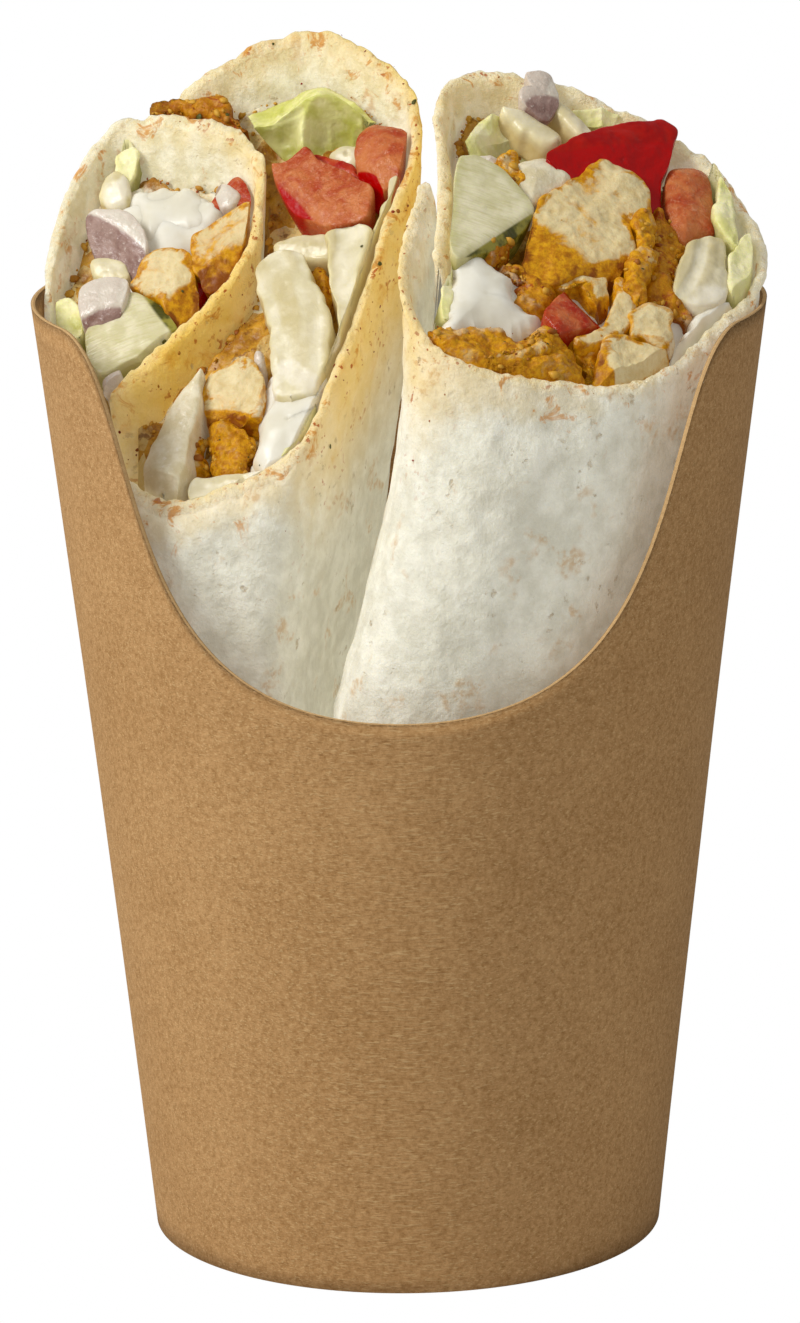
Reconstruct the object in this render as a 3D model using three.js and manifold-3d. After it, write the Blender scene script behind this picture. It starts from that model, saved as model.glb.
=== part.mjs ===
// A chicken shawarma wrap, cut on the slant, its two halves standing in a scoop cup.
// Millimetres, +Z up. The cup stands on z = 0, and its low scooped side faces -Y. Everything is
// drawn about the cup's axis.

import * as THREE from 'three';
import { ParametricGeometry } from 'three/addons/geometries/ParametricGeometry.js';
import { mergeVertices } from 'three/addons/utils/BufferGeometryUtils.js';
import Module from 'manifold-3d';

const wasm = await Module();
wasm.setup();

// ---- Driving dimensions -------------------------------------------------------------

// Clearance between touching pieces.
const GAP = 0.3;
const PIECE_GAP = 0.4;

// Paperboard cup: a cone that flares a little, with its foot folded inwards as a hem.
const CUP = {
	baseRadius: 32,
	rimRadius: 45.4,
	height: 118.5,
	flare: 0.34,
	board: 0.55,
	hem: 1.3,
	hemHeight: 6,
};

// Scoop edge: a Bezier curve in angle from the front (degrees) and height.
const SCOOP = {
	low: 74,
	bowlReach: 62.5,
	shoulderReach: 41.7,
	end: 64.6,
};

// Where the food's fibres pass on their way down: half way, and on the cup's base.
const MID_LEVEL = 72;
const FOOT_LEVEL = 7.6;

// Each half is cut by the plane z = level + slopeX x + slopeY y.
// Its section is then squeezed towards the cup's foot: `squeeze` is across, front and back.
const LEFT = {
	level: 130.8,
	slopeX: 0.42,
	slopeY: 0.92,
	centre: [ -20, 0 ],
	mid: { at: [ -20.8, 1.5 ], squeeze: [ 0.7, 1.08, 0.85 ] },
	foot: { at: [ -18.4, 0 ], squeeze: [ 0.49, 0.75, 0.75 ] },
	hollow: 0,
};
const RIGHT = {
	level: 141,
	slopeX: -0.36,
	slopeY: 0.72,
	centre: [ 22, -10 ],
	mid: { at: [ 13.6, -8.2 ], squeeze: [ 0.98, 1.18, 1.15 ] },
	foot: { at: [ 10.5, -5 ], squeeze: [ 0.8, 0.85, 0.85 ] },
	hollow: 4.2,
};

// The side facing the other half is pressed in below the cut, by up to `hollow`: in full as far
// as x = HOLLOW_FROM on the cut and not at all past HOLLOW_TO, and in the upper half only.
const HOLLOW_FROM = 7;
const HOLLOW_TO = 26;
const HOLLOW_SKEW = 0.85;

// How fast the food spreads above the cup's rim.
const SWELL = 0.5;

// The flat bread.
const BREAD = 2;
const BREAD_WAVE = 0.35;
const BREAD_ROWS = [ 0, 0.025, 0.1, 0.2, 0.34, 0.62, 1 ];

// Loose pieces reach down to this depth under the cut plane, and the packed filling
// lies just under them.
const PIECE_FLOOR = -4;
const FILLING_TOP = -4.8;
const FILLING_INSET = BREAD / 2 + 0.6;
const FILLING_BUMP = 0.3;
const FILLING_ROWS = [ 0, 0.06, 0.17, 0.31, 0.6, 1 ];

// ---- Finishes -----------------------------------------------------------------------

const FINISH = {
	kraft: { color: 0xa9814f, roughness: 0.85 },
	bread: { color: 0xd9cfae, roughness: 0.8 },
	filling: { color: 0xc59a4e, roughness: 0.6 },
	chicken: { color: 0xc89745, roughness: 0.55 },
	paleChicken: { color: 0xdcc9a4, roughness: 0.5 },
	tomato: { color: 0xb8482c, roughness: 0.3 },
	cucumber: { color: 0xd6d2a6, roughness: 0.35 },
	onion: { color: 0xc9b8b0, roughness: 0.35 },
	lettuce: { color: 0xb7c178, roughness: 0.45 },
	cabbage: { color: 0xded4b4, roughness: 0.45 },
	sauce: { color: 0xebe7d8, roughness: 0.25 },
};

// ---- Small helpers ------------------------------------------------------------------

const DEGREE = Math.PI / 180;

// Corners closer than this are drawn as one.
const FUSE = 0.08;

function mix( a, b, share ) {

	return a + ( b - a ) * share;

}

// A smooth repeatable unevenness between about -1 and 1.
function wobble( x, y, z, seed ) {

	const first = Math.sin( 0.9 * x + 0.7 * y + 1.7 * seed );
	const second = Math.sin( 1.1 * y - 0.8 * z + 2.3 * seed );
	const third = Math.sin( 1.3 * z + 0.6 * x + 3.1 * seed );
	return ( first + second + third ) / 3;

}

// Distance along Z that a step straight out of the cut plane stands for.
function steepness( half ) {

	return Math.hypot( half.slopeX, half.slopeY, 1 );

}

function cutHeight( half, x, y ) {

	return half.level + half.slopeX * x + half.slopeY * y;

}

// The cut plane's own frame: u runs level across it, v climbs it, n stands out of it.
function cutFrame( half ) {

	const slope = Math.hypot( half.slopeX, half.slopeY );
	const steep = steepness( half );
	const [ x, y ] = half.centre;
	return {
		origin: new THREE.Vector3( x, y, cutHeight( half, x, y ) ),
		u: new THREE.Vector3( half.slopeY, - half.slopeX, 0 ).divideScalar( slope ),
		v: new THREE.Vector3( half.slopeX, half.slopeY, slope * slope ).divideScalar( slope * steep ),
		n: new THREE.Vector3( - half.slopeX, - half.slopeY, 1 ).divideScalar( steep ),
	};

}

LEFT.frame = cutFrame( LEFT );
RIGHT.frame = cutFrame( RIGHT );

function onCut( half, u, v, n ) {

	const { frame } = half;
	return frame.origin.clone()
		.addScaledVector( frame.u, u )
		.addScaledVector( frame.v, v )
		.addScaledVector( frame.n, n );

}

// ---- Closed surfaces ----------------------------------------------------------------

// Turns a parametric surface that closes on itself into one clean outward-facing body.
function closedSurface( shape, around, along ) {

	const geometry = new ParametricGeometry( shape, around, along );
	geometry.deleteAttribute( 'normal' );
	geometry.deleteAttribute( 'uv' );
	return outward( withoutSlivers( mergeVertices( geometry, 1e-3 ) ) );

}

// Drops the triangles that poles and pinched ends leave without area.
function withoutSlivers( geometry ) {

	const index = geometry.index.array;
	const kept = [];
	for ( let i = 0; i < index.length; i += 3 ) {

		const [ a, b, c ] = [ index[ i ], index[ i + 1 ], index[ i + 2 ] ];
		if ( a !== b && b !== c && c !== a ) kept.push( a, b, c );

	}

	geometry.setIndex( kept );
	return geometry;

}

function outward( geometry ) {

	const position = geometry.attributes.position;
	const index = geometry.index.array;
	const [ a, b, c ] = [ new THREE.Vector3(), new THREE.Vector3(), new THREE.Vector3() ];
	let volume = 0;
	for ( let i = 0; i < index.length; i += 3 ) {

		a.fromBufferAttribute( position, index[ i ] );
		b.fromBufferAttribute( position, index[ i + 1 ] );
		c.fromBufferAttribute( position, index[ i + 2 ] );
		volume += a.dot( b.cross( c ) );

	}

	if ( volume < 0 ) geometry.setIndex( Array.from( index ).reverse() );
	return geometry;

}

function toSolid( geometry ) {

	const mesh = new wasm.Mesh( {
		numProp: 3,
		vertProperties: Float32Array.from( geometry.attributes.position.array ),
		triVerts: Uint32Array.from( geometry.index.array ),
	} );
	return new wasm.Manifold( mesh );

}

function toGeometry( solid ) {

	const mesh = solid.getMesh();
	const geometry = new THREE.BufferGeometry();
	geometry.setAttribute( 'position', new THREE.BufferAttribute( mesh.vertProperties, 3 ) );
	geometry.setIndex( Array.from( mesh.triVerts ) );
	return geometry;

}

// ---- Cup ----------------------------------------------------------------------------

function cupRadius( z ) {

	const share = z / CUP.height;
	const cone = mix( CUP.baseRadius, CUP.rimRadius, share );
	return cone - 4 * CUP.flare * share * ( 1 - share );

}

const SCOOP_EDGE = new THREE.CubicBezierCurve(
	new THREE.Vector2( 0, SCOOP.low ),
	new THREE.Vector2( SCOOP.bowlReach, SCOOP.low ),
	new THREE.Vector2( SCOOP.shoulderReach, CUP.height ),
	new THREE.Vector2( SCOOP.end, CUP.height ),
);
const SCOOP_STEPS = 18;
const RIM_STEPS = 30;

// Angle from the front (degrees) and edge height at each step round the cup.
function cupEdge() {

	const scoop = SCOOP_EDGE.getSpacedPoints( SCOOP_STEPS );
	const rim = [];
	for ( let i = 1; i < RIM_STEPS; i ++ ) {

		const angle = mix( SCOOP.end, 360 - SCOOP.end, i / RIM_STEPS );
		rim.push( new THREE.Vector2( angle, CUP.height ) );

	}

	const mirrored = scoop.slice().reverse().map( ( point ) => new THREE.Vector2( 360 - point.x, point.y ) );
	return [ ...scoop, ...rim, ...mirrored ];

}

function cupWall() {

	const edge = cupEdge();
	const { board, hem, hemHeight } = CUP;
	// Round the board's section: the outside upwards, over the edge, down the inside to the hem.
	const section = [
		[ 0, 0 ], [ 0, 0.35 ], [ 0, 0.7 ], [ 0, 1 ],
		[ board, 1 ], [ board, 0.7 ], [ board, 0.35 ],
	];
	const hemSection = [ [ board, hemHeight ], [ hem, hemHeight ], [ hem, 0 ] ];
	const around = section.length + hemSection.length;
	return closedSurface( ( u, v, target ) => {

		const { x: angle, y: top } = edge[ Math.round( v * ( edge.length - 1 ) ) ];
		const step = Math.round( u * around ) % around;
		let inset, z;
		if ( step < section.length ) {

			inset = section[ step ][ 0 ];
			z = section[ step ][ 1 ] * top;

		} else {

			[ inset, z ] = hemSection[ step - section.length ];

		}

		const radius = cupRadius( z ) - inset;
		target.set( radius * Math.sin( angle * DEGREE ), - radius * Math.cos( angle * DEGREE ), z );

	}, around, edge.length - 1 );

}

// The base is a disc that lies on the hem.
function cupBase() {

	const bottom = CUP.hemHeight + GAP;
	const top = bottom + CUP.board;
	const radius = cupRadius( bottom ) - CUP.board - GAP;
	const profile = [
		new THREE.Vector2( 0, bottom ),
		new THREE.Vector2( radius * 0.97, bottom ),
		new THREE.Vector2( radius, bottom + CUP.board / 2 ),
		new THREE.Vector2( radius * 0.97, top ),
		new THREE.Vector2( 0, top ),
	];
	const disc = new THREE.LatheGeometry( profile, 36 );
	disc.rotateX( Math.PI / 2 );
	disc.deleteAttribute( 'normal' );
	disc.deleteAttribute( 'uv' );
	return outward( withoutSlivers( mergeVertices( disc, 1e-3 ) ) );

}

// ---- The wrap's fibres --------------------------------------------------------------

function squeezed( half, level, x, y ) {

	const [ across, front, back ] = level.squeeze;
	const dx = x - half.centre[ 0 ];
	const dy = y - half.centre[ 1 ];
	return [ level.at[ 0 ] + across * dx, level.at[ 1 ] + ( dy < 0 ? front : back ) * dy ];

}

// Keeps food clear of the cup's wall below its rim, and lets it swell out above.
function insideCup( point ) {

	const swell = SWELL * Math.max( 0, point.z - CUP.height - 0.8 );
	const limit = cupRadius( Math.min( point.z, CUP.height ) ) - CUP.board - GAP - 0.1 + swell;
	const radius = Math.hypot( point.x, point.y );
	if ( radius > limit ) {

		point.x *= limit / radius;
		point.y *= limit / radius;

	}

	return point;

}

// How far a fibre that starts at x on the cut is pressed in at this depth.
function pressedIn( half, x, depth ) {

	const away = Math.min( Math.max( ( HOLLOW_TO - x ) / ( HOLLOW_TO - HOLLOW_FROM ), 0 ), 1 );
	const upper = Math.min( depth / 0.5, 1 );
	return half.hollow * away * away * ( 3 - 2 * away ) * Math.sin( Math.PI * upper ** HOLLOW_SKEW );

}

// A point of the half: (x, y) on its cut plane followed down its fibre.
// depth is 0 at the cut and 1 on the cup's base, on a parabola through the middle level.
function fibre( half, x, y, depth, lift = 0 ) {

	const atCut = ( 1 - depth ) * ( 1 - 2 * depth );
	const atMid = 4 * depth * ( 1 - depth );
	const atFoot = depth * ( 2 * depth - 1 );
	const mid = squeezed( half, half.mid, x, y );
	const foot = squeezed( half, half.foot, x, y );
	const cut = cutHeight( half, x, y ) + lift;
	return insideCup( new THREE.Vector3(
		x * atCut + mid[ 0 ] * atMid + foot[ 0 ] * atFoot + pressedIn( half, x, depth ),
		y * atCut + mid[ 1 ] * atMid + foot[ 1 ] * atFoot,
		cut * atCut + MID_LEVEL * atMid + FOOT_LEVEL * atFoot,
	) );

}

// The depth share at which a fibre passes the level n of the cut plane's frame.
function depthOf( half, x, y, n ) {

	const { frame } = half;
	let low = 0;
	let high = 0.6;
	for ( let i = 0; i < 20; i ++ ) {

		const middle = ( low + high ) / 2;
		const level = fibre( half, x, y, middle ).sub( frame.origin ).dot( frame.n );
		if ( level > n ) low = middle;
		else high = middle;

	}

	return low;

}

// A body between two rails drawn on the cut plane, followed down to the cup's base.
// `top` gives the depth share and lift of its upper face, and `levels` the rows down its sides.
// The ends are pinched shut.
function between( half, railA, railB, top, steps, levels, across ) {

	const rows = levels.length - 1;
	const side = rows + 1;
	const around = 2 * side + 2 * ( across - 1 );
	return closedSurface( ( u, v, target ) => {

		const step = Math.round( u * around ) % around;
		const end = v === 0 || v === 1;
		let share, down;
		if ( step < side ) [ share, down ] = [ 0, levels[ rows - step ] ];
		else if ( step < side + across - 1 ) [ share, down ] = [ ( step - rows ) / across, 0 ];
		else if ( step < 2 * side + across - 1 ) [ share, down ] = [ 1, levels[ step - rows - across ] ];
		else [ share, down ] = [ 1 - ( step - 2 * rows - across ) / across, 1 ];
		const a = railA( v );
		const b = railB( v );
		const pinched = end ? 0.5 : share;
		const x = mix( a[ 0 ], b[ 0 ], pinched );
		const y = mix( a[ 1 ], b[ 1 ], pinched );
		const { start, lift } = top( x, y, v );
		target.copy( fibre( half, x, y, mix( start, 1, down ), lift * ( 1 - down ) ) );

	}, around, steps );

}

// ---- Flat bread ---------------------------------------------------------------------

function pathThrough( points ) {

	const knots = points.map( ( [ x, y ] ) => new THREE.Vector3( x, y, 0 ) );
	return new THREE.CatmullRomCurve3( knots, false, 'centripetal' );

}

// The path shifted sideways, to its right for a positive shift. `from` and `to` count its knots.
function rail( path, shift, from = 0, to = path.points.length - 1 ) {

	return ( v ) => {

		const share = mix( from, to, v ) / ( path.points.length - 1 );
		const at = path.getPoint( share );
		const along = path.getTangent( share );
		return [ at.x + along.y * shift, at.y - along.x * shift ];

	};

}

// The sheet is rolled: each path follows its middle, from the inner end to the outer end.
// On the left, knots 0 to 10 are the inner turn, which meets the outer turn at its far corner.
const LEFT_ROLL = pathThrough( [
	[ -35.5, -8.6 ], [ -30.4, -6.4 ], [ -25.6, -4.6 ], [ -21, -2 ], [ -17.9, 1.8 ], [ -17.2, 5.8 ],
	[ -17, 10.4 ], [ -19.4, 14.4 ], [ -24.6, 18 ], [ -30.2, 21 ], [ -35, 22.8 ],
	[ -38.9, 19.6 ], [ -42.2, 13.4 ], [ -43.8, 6 ], [ -42.6, -3 ], [ -39, -11.4 ], [ -33.4, -19.4 ],
	[ -27.4, -24.2 ], [ -20.6, -24.9 ], [ -13.8, -24.6 ], [ -10.6, -21.9 ], [ -7.6, -16.6 ], [ -4.6, -10.4 ],
	[ -1.6, -3.6 ], [ 1.6, 2.6 ], [ 2.4, 8.4 ], [ 0.4, 13.6 ], [ -4.6, 18.6 ], [ -11, 22.8 ],
	[ -18, 23.8 ], [ -23, 23.2 ], [ -27.4, 22.4 ],
] );
const RIGHT_ROLL = pathThrough( [
	[ 4.8, -19 ], [ 5.6, -11 ], [ 5.6, -4.6 ], [ 5.2, 1.6 ], [ 6.4, 6.8 ], [ 10.4, 10.2 ], [ 17.8, 11.2 ],
	[ 25.6, 11.3 ], [ 33, 11 ], [ 38.6, 8 ], [ 42.8, 2.8 ], [ 44.6, -2.8 ], [ 43.6, -8.4 ], [ 39.6, -13.4 ],
	[ 35.2, -19 ], [ 30.4, -24.3 ], [ 25.6, -27.8 ], [ 19.8, -29.8 ], [ 13.6, -31.3 ], [ 8, -31.5 ],
	[ 3.6, -29.8 ], [ 1, -25.6 ], [ 0.8, -20 ], [ 1.7, -15.6 ], [ 2.6, -11.6 ], [ 3.5, -7.8 ],
] );

const LEFT_STEPS = 50;
const RIGHT_STEPS = 42;

function bread( half, roll, steps, grow ) {

	const shift = BREAD / 2 + grow;
	const top = ( x, y ) => ( { start: 0, lift: grow * 2 + BREAD_WAVE * wobble( x, y, 0, 3 ) } );
	return between( half, rail( roll, shift ), rail( roll, - shift ), top, steps, BREAD_ROWS, 1 );

}

// ---- Packed filling -----------------------------------------------------------------

function filling( half, railA, railB, steps ) {

	const top = ( x, y ) => ( {
		start: depthOf( half, x, y, FILLING_TOP ),
		lift: FILLING_BUMP * wobble( x, y, 1, 5 ),
	} );
	return between( half, railA, railB, top, steps, FILLING_ROWS, 3 );

}

// ---- Loose pieces in the cut face ---------------------------------------------------

// Outline of a piece about its own middle: a superellipse, narrower at one end by `taper`
// and bent sideways by `bow`.
function outline( piece, angle, grow ) {

	const power = 2 / piece.square;
	const cos = Math.cos( angle );
	const sin = Math.sin( angle );
	const a = Math.sign( cos ) * Math.pow( Math.abs( cos ), power );
	const b = Math.sign( sin ) * Math.pow( Math.abs( sin ), power );
	const [ length, width ] = piece.size;
	const x = ( length / 2 + grow ) * a;
	const share = x / ( length / 2 );
	const breadth = width / 2 * ( 1 + piece.taper * a ) + grow;
	return [ x, breadth * b + piece.bow * ( 0.5 - share * share ) ];

}

// Rings from the middle of the underside to the crown: share of the outline, and height
// as a share of the way from the floor (0) to the top edge (1), then of the dome (2).
const RINGS = [ [ 0, 0 ], [ 0.82, 0 ], [ 1, 0.86 ], [ 0.86, 1 ], [ 0.5, 1.7 ], [ 0, 2 ] ];

function morsel( piece, grow ) {

	const around = piece.size[ 0 ] > 15 ? 16 : 12;
	const { frame } = piece.half;
	const steep = steepness( piece.half );
	const turn = piece.turn * DEGREE;
	const floor = piece.floor - grow;
	return closedSurface( ( u, v, target ) => {

		const [ share, level ] = RINGS[ Math.round( v * ( RINGS.length - 1 ) ) ];
		const [ x, y ] = outline( piece, u * 2 * Math.PI, grow );
		const spreadX = share * x;
		const spreadY = share * y;
		const across = piece.at[ 0 ] + spreadX * Math.cos( turn ) - spreadY * Math.sin( turn );
		const up = piece.at[ 1 ] + spreadX * Math.sin( turn ) + spreadY * Math.cos( turn );
		const slope = piece.tilt[ 0 ] * spreadX + piece.tilt[ 1 ] * spreadY;
		const edge = piece.top + slope + grow - piece.dome;
		const relief = piece.rough * wobble( across, up, level, piece.seed );
		const height = level <= 1 ? mix( floor, edge, level ) : edge + piece.dome * ( level - 1 );
		target.copy( onCut( piece.half, across, up, piece.top ) );
		target.z += ( height - piece.top ) * steep + ( level > 0.5 ? relief : 0 );

	}, around, RINGS.length - 1 );

}

// A leaf or ribbon: a thin sheet through three rims, each a few points [ u, v, n ].
function leaf( piece, grow ) {

	const rims = piece.rims.map( ( rim ) => new THREE.CatmullRomCurve3(
		rim.map( ( [ u, v, n ] ) => onCut( piece.half, u, v, n ) ) ) );
	const face = ( a, b, side ) => {

		const [ p, q, r ] = rims.map( ( rim ) => rim.getPoint( a ) );
		const point = p.multiplyScalar( ( 1 - b ) * ( 1 - b ) )
			.addScaledVector( q, 2 * b * ( 1 - b ) )
			.addScaledVector( r, b * b );
		const ripple = piece.ripple * Math.sin( 9 * a + 4 * b + piece.seed );
		const thickness = side * ( piece.thick / 2 + grow );
		return point.addScaledVector( piece.half.frame.n, ripple + thickness );

	};

	const rows = 4;
	const around = 2 * rows + 2;
	return closedSurface( ( u, v, target ) => {

		const step = Math.round( u * around ) % around;
		const side = step <= rows ? 1 : - 1;
		const b = ( step <= rows ? step : 2 * rows + 1 - step ) / rows;
		const end = v === 0 || v === 1;
		target.copy( face( v, b, end ? 0 : side ) );

	}, around, 8 );

}

const DEFAULTS = {
	square: 2.5, taper: 0, bow: 0, top: 0, dome: 0.8, tilt: [ 0, 0 ], rough: 0.25, floor: PIECE_FLOOR,
};

// Front pieces come first: where two meet, the later one gives way.
const PIECES = [
	// Left half, outer turn.
	{ name: 'tomato_curl_left', half: LEFT, finish: 'tomato', at: [ 15.7, 16.5 ], size: [ 13.6, 6.6 ],
		turn: 126, square: 2, taper: 0.5, top: 1, dome: 1.4 },
	{ name: 'tomato_large_left', half: LEFT, finish: 'tomato', at: [ 7.5, 12.6 ], size: [ 15.7, 8 ],
		turn: -31, taper: 0.17, bow: -0.5, top: 0.4, dome: 0.4 },
	{ name: 'cabbage_rib', half: LEFT, finish: 'cabbage', at: [ 10.7, -8.7 ], size: [ 22.5, 8.4 ],
		turn: -65, square: 2.8, taper: 0.08, bow: 1.6, top: 1, dome: 1 },
	{ name: 'cabbage_strip_middle', half: LEFT, finish: 'cabbage', at: [ 17, -0.8 ], size: [ 25, 4.6 ],
		turn: 99, square: 2.2, taper: 0.3, bow: 1.8, top: 0.8, dome: 0.6 },
	{ name: 'cabbage_strip_side', half: LEFT, finish: 'cabbage', at: [ 18.6, 4.6 ], size: [ 18, 2.6 ],
		turn: -83, square: 2.2, top: 0, dome: 0.5 },
	{ name: 'onion_long', half: LEFT, finish: 'onion', at: [ 1, -26.2 ], size: [ 17.6, 4.6 ],
		turn: -89, square: 2.8, taper: 0.31, bow: -1, top: 2, dome: 0.8 },
	{ name: 'chicken_low_pale', half: LEFT, finish: 'paleChicken', at: [ 5.7, -18.6 ], size: [ 9.1, 8.4 ],
		turn: 168, square: 2.1, taper: 0.14, bow: -1.1, top: 0.2, dome: 0.4, rough: 0.4 },
	{ name: 'chicken_low_crumbly', half: LEFT, finish: 'chicken', at: [ 6.4, -25.2 ], size: [ 9, 6 ],
		turn: -52, square: 2.2, taper: 0.22, bow: 1.3, top: -0.6, dome: 1, rough: 0.6 },
	{ name: 'sauce_low', half: LEFT, finish: 'sauce', at: [ 12.4, -22.4 ], size: [ 13, 5.6 ],
		turn: 80, square: 3, taper: 0.5, top: 0.6, dome: 1.4, rough: 0.15 },
	{ name: 'lettuce_low', half: LEFT, finish: 'lettuce', at: [ 15, -20 ], size: [ 8, 2.6 ],
		turn: -118, taper: 0.23, top: -0.2, dome: 0.5 },
	{ name: 'chicken_low_side', half: LEFT, finish: 'chicken', at: [ 2.7, -26.3 ], size: [ 7, 2.8 ],
		turn: -64, square: 2.1, taper: 0.35, bow: -0.8, top: -1, rough: 0.4 },
	{ name: 'cabbage_rim', half: LEFT, finish: 'cabbage', at: [ 9.4, -29.8 ], size: [ 12, 3.2 ],
		turn: -161, square: 2.7, taper: 0.5, bow: 0.6, top: 0, dome: 0.6 },
	{ name: 'chicken_top', half: LEFT, finish: 'chicken', at: [ -12, 24.4 ], size: [ 14, 3 ],
		turn: -12, square: 2.3, bow: 1.4, top: 0.2, dome: 1, rough: 0.5 },
	// Left half, inner turn.
	{ name: 'onion_red_upper', half: LEFT, finish: 'onion', at: [ -17.3, 2.9 ], size: [ 11, 6.6 ],
		turn: -35, square: 2, taper: 0.1, bow: 0.6, top: 1.2, dome: 1 },
	{ name: 'onion_red_lower', half: LEFT, finish: 'onion', at: [ -15.3, -7.3 ], size: [ 7.7, 6 ],
		turn: -98, square: 2.4, bow: -1.2, top: 2, dome: 0.8 },
	{ name: 'onion_red_small', half: LEFT, finish: 'onion', at: [ -6.4, 12 ], size: [ 5, 2.4 ],
		turn: -39, taper: 0.43, top: -1.8, dome: 0.6 },
	{ name: 'chicken_slice', half: LEFT, finish: 'chicken', at: [ -2.6, 3.6 ], size: [ 12.5, 7.4 ],
		turn: -111, square: 2, taper: 0.07, bow: -0.9, top: 0.2, dome: 0.8, rough: 0.3 },
	{ name: 'chicken_slab', half: LEFT, finish: 'paleChicken', at: [ -7.4, -4.2 ], size: [ 12.6, 6 ],
		turn: 128, square: 2.7, taper: 0.6, bow: -0.9, top: 0.2, dome: 0.4, rough: 0.3 },
	{ name: 'cucumber_left', half: LEFT, finish: 'cucumber', at: [ -11.2, -11.4 ], size: [ 11.2, 9.2 ],
		turn: 44, square: 3.2, taper: 0.29, bow: 1.3, top: 0.2, dome: 0.3, rough: 0.1 },
	{ name: 'tomato_dark_left', half: LEFT, finish: 'tomato', at: [ -2.4, -0.6 ], size: [ 9.6, 4 ],
		turn: -120, taper: 0.2, bow: -0.4, top: -2, dome: 0.4 },
	{ name: 'tomato_small_left', half: LEFT, finish: 'tomato', at: [ -5.4, 11.2 ], size: [ 6.6, 5 ],
		turn: -165, square: 2.1, bow: -1, top: -2, dome: 0.6 },
	{ name: 'sauce_upper_left', half: LEFT, finish: 'sauce', at: [ -13.4, 9.6 ], size: [ 14, 8.4 ],
		turn: -10, square: 2.1, taper: 0.2, bow: -1.4, top: -2.2, dome: 1.6, rough: 0.3 },
	{ name: 'lettuce_wall', half: LEFT, finish: 'lettuce', at: [ -21.4, 14.6 ], size: [ 11, 2.8 ],
		turn: -70, bow: 0.5, top: -2, dome: 0.6 },
	{ name: 'lettuce_edge_left', half: LEFT, finish: 'lettuce', at: [ -19.8, -8.6 ], size: [ 6.7, 2.6 ],
		turn: 125, taper: 0.26, bow: 0.9, top: -1, dome: 0.6 },
	// Right half.
	{ name: 'onion_top', half: RIGHT, finish: 'onion', at: [ 4.9, 24.2 ], size: [ 6.7, 4.6 ],
		turn: -113, square: 2.6, top: 2.4, floor: -3.2, dome: 1 },
	{ name: 'tomato_strip', half: RIGHT, finish: 'tomato', at: [ 10.4, 13.6 ], size: [ 17.5, 6.4 ],
		turn: -33, square: 3, taper: 0.4, bow: 1.2, top: 2.2, dome: 0.6 },
	{ name: 'chicken_ridge', half: RIGHT, finish: 'chicken', at: [ 6.4, -3.3 ], size: [ 14, 2.8 ],
		turn: 62, square: 2.8, taper: 0.26, bow: 0.6, top: 2.2, dome: 1, rough: 0.5 },
	{ name: 'chicken_large', half: RIGHT, finish: 'paleChicken', at: [ 0.6, 2.6 ], size: [ 21.5, 12 ],
		turn: 35, square: 2.8, taper: 0.13, top: 1.6, dome: 0.8, rough: 0.6 },
	{ name: 'cucumber_right', half: RIGHT, finish: 'cucumber', at: [ -11.4, 6.8 ], size: [ 16.5, 8.6 ],
		turn: 53, square: 2.2, taper: 0.45, bow: -2, top: 1, dome: 0.3, rough: 0.1 },
	{ name: 'onion_white', half: RIGHT, finish: 'onion', at: [ 0, 11.8 ], size: [ 8.5, 5.4 ],
		turn: 31, square: 2.2, taper: 0.24, bow: 1.6, top: 0.8, dome: 1 },
	{ name: 'chicken_fleck', half: RIGHT, finish: 'chicken', at: [ -3.6, 14 ], size: [ 5.3, 2.4 ],
		turn: 90, taper: 0.26, bow: 0.6, top: 0.4, rough: 0.3 },
	{ name: 'tomato_pink', half: RIGHT, finish: 'tomato', at: [ 18.1, 6.4 ], size: [ 12.5, 6.6 ],
		turn: 65, square: 2.4, taper: 0.17, bow: -0.7, top: 0.6, dome: 1.2 },
	{ name: 'cabbage_block', half: RIGHT, finish: 'cabbage', at: [ 14.3, -6.1 ], size: [ 12.8, 6 ],
		turn: -125, square: 3, taper: 0.19, top: 2, dome: 0.5 },
	{ name: 'chicken_spiced_slab', half: RIGHT, finish: 'chicken', at: [ 10.4, -3.5 ], size: [ 17.7, 5.4 ],
		turn: -110, square: 3.4, taper: 0.38, bow: -1, top: 0, dome: 0.8, rough: 0.5 },
	{ name: 'lettuce_ribbon_outer', half: RIGHT, finish: 'lettuce', at: [ 21.4, 3 ], size: [ 13.6, 2 ],
		turn: -110, taper: 0.24, bow: -0.4, top: 1, dome: 0.4 },
	{ name: 'lettuce_ribbon_inner', half: RIGHT, finish: 'lettuce', at: [ 19.6, -6 ], size: [ 11, 2.6 ],
		turn: -126, taper: 0.17, top: 1, dome: 0.4 },
	{ name: 'tomato_wedge', half: RIGHT, finish: 'tomato', at: [ -5.2, -9.2 ], size: [ 9.2, 5.2 ],
		turn: -130, square: 2.1, taper: 0.37, bow: 1.2, top: 1, dome: 0.6 },
	{ name: 'chicken_cube_middle', half: RIGHT, finish: 'paleChicken', at: [ -1.7, -5.6 ], size: [ 8, 5 ],
		turn: -49, square: 3, taper: 0.19, bow: 1.6, top: 0, dome: 0.4 },
	{ name: 'chicken_cube_small', half: RIGHT, finish: 'paleChicken', at: [ 3.9, -14 ], size: [ 6.2, 5.2 ],
		turn: -112, square: 3, bow: -0.6, top: 1, dome: 0.3 },
	{ name: 'chicken_cube_front', half: RIGHT, finish: 'paleChicken', at: [ -1.9, -20.1 ], size: [ 11.2, 7.2 ],
		turn: 31, square: 2.4, taper: 0.45, bow: 1.2, top: 1, dome: 0.5 },
	{ name: 'chicken_front', half: RIGHT, finish: 'chicken', at: [ -16.2, -15.3 ], size: [ 19.6, 10.2 ],
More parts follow.
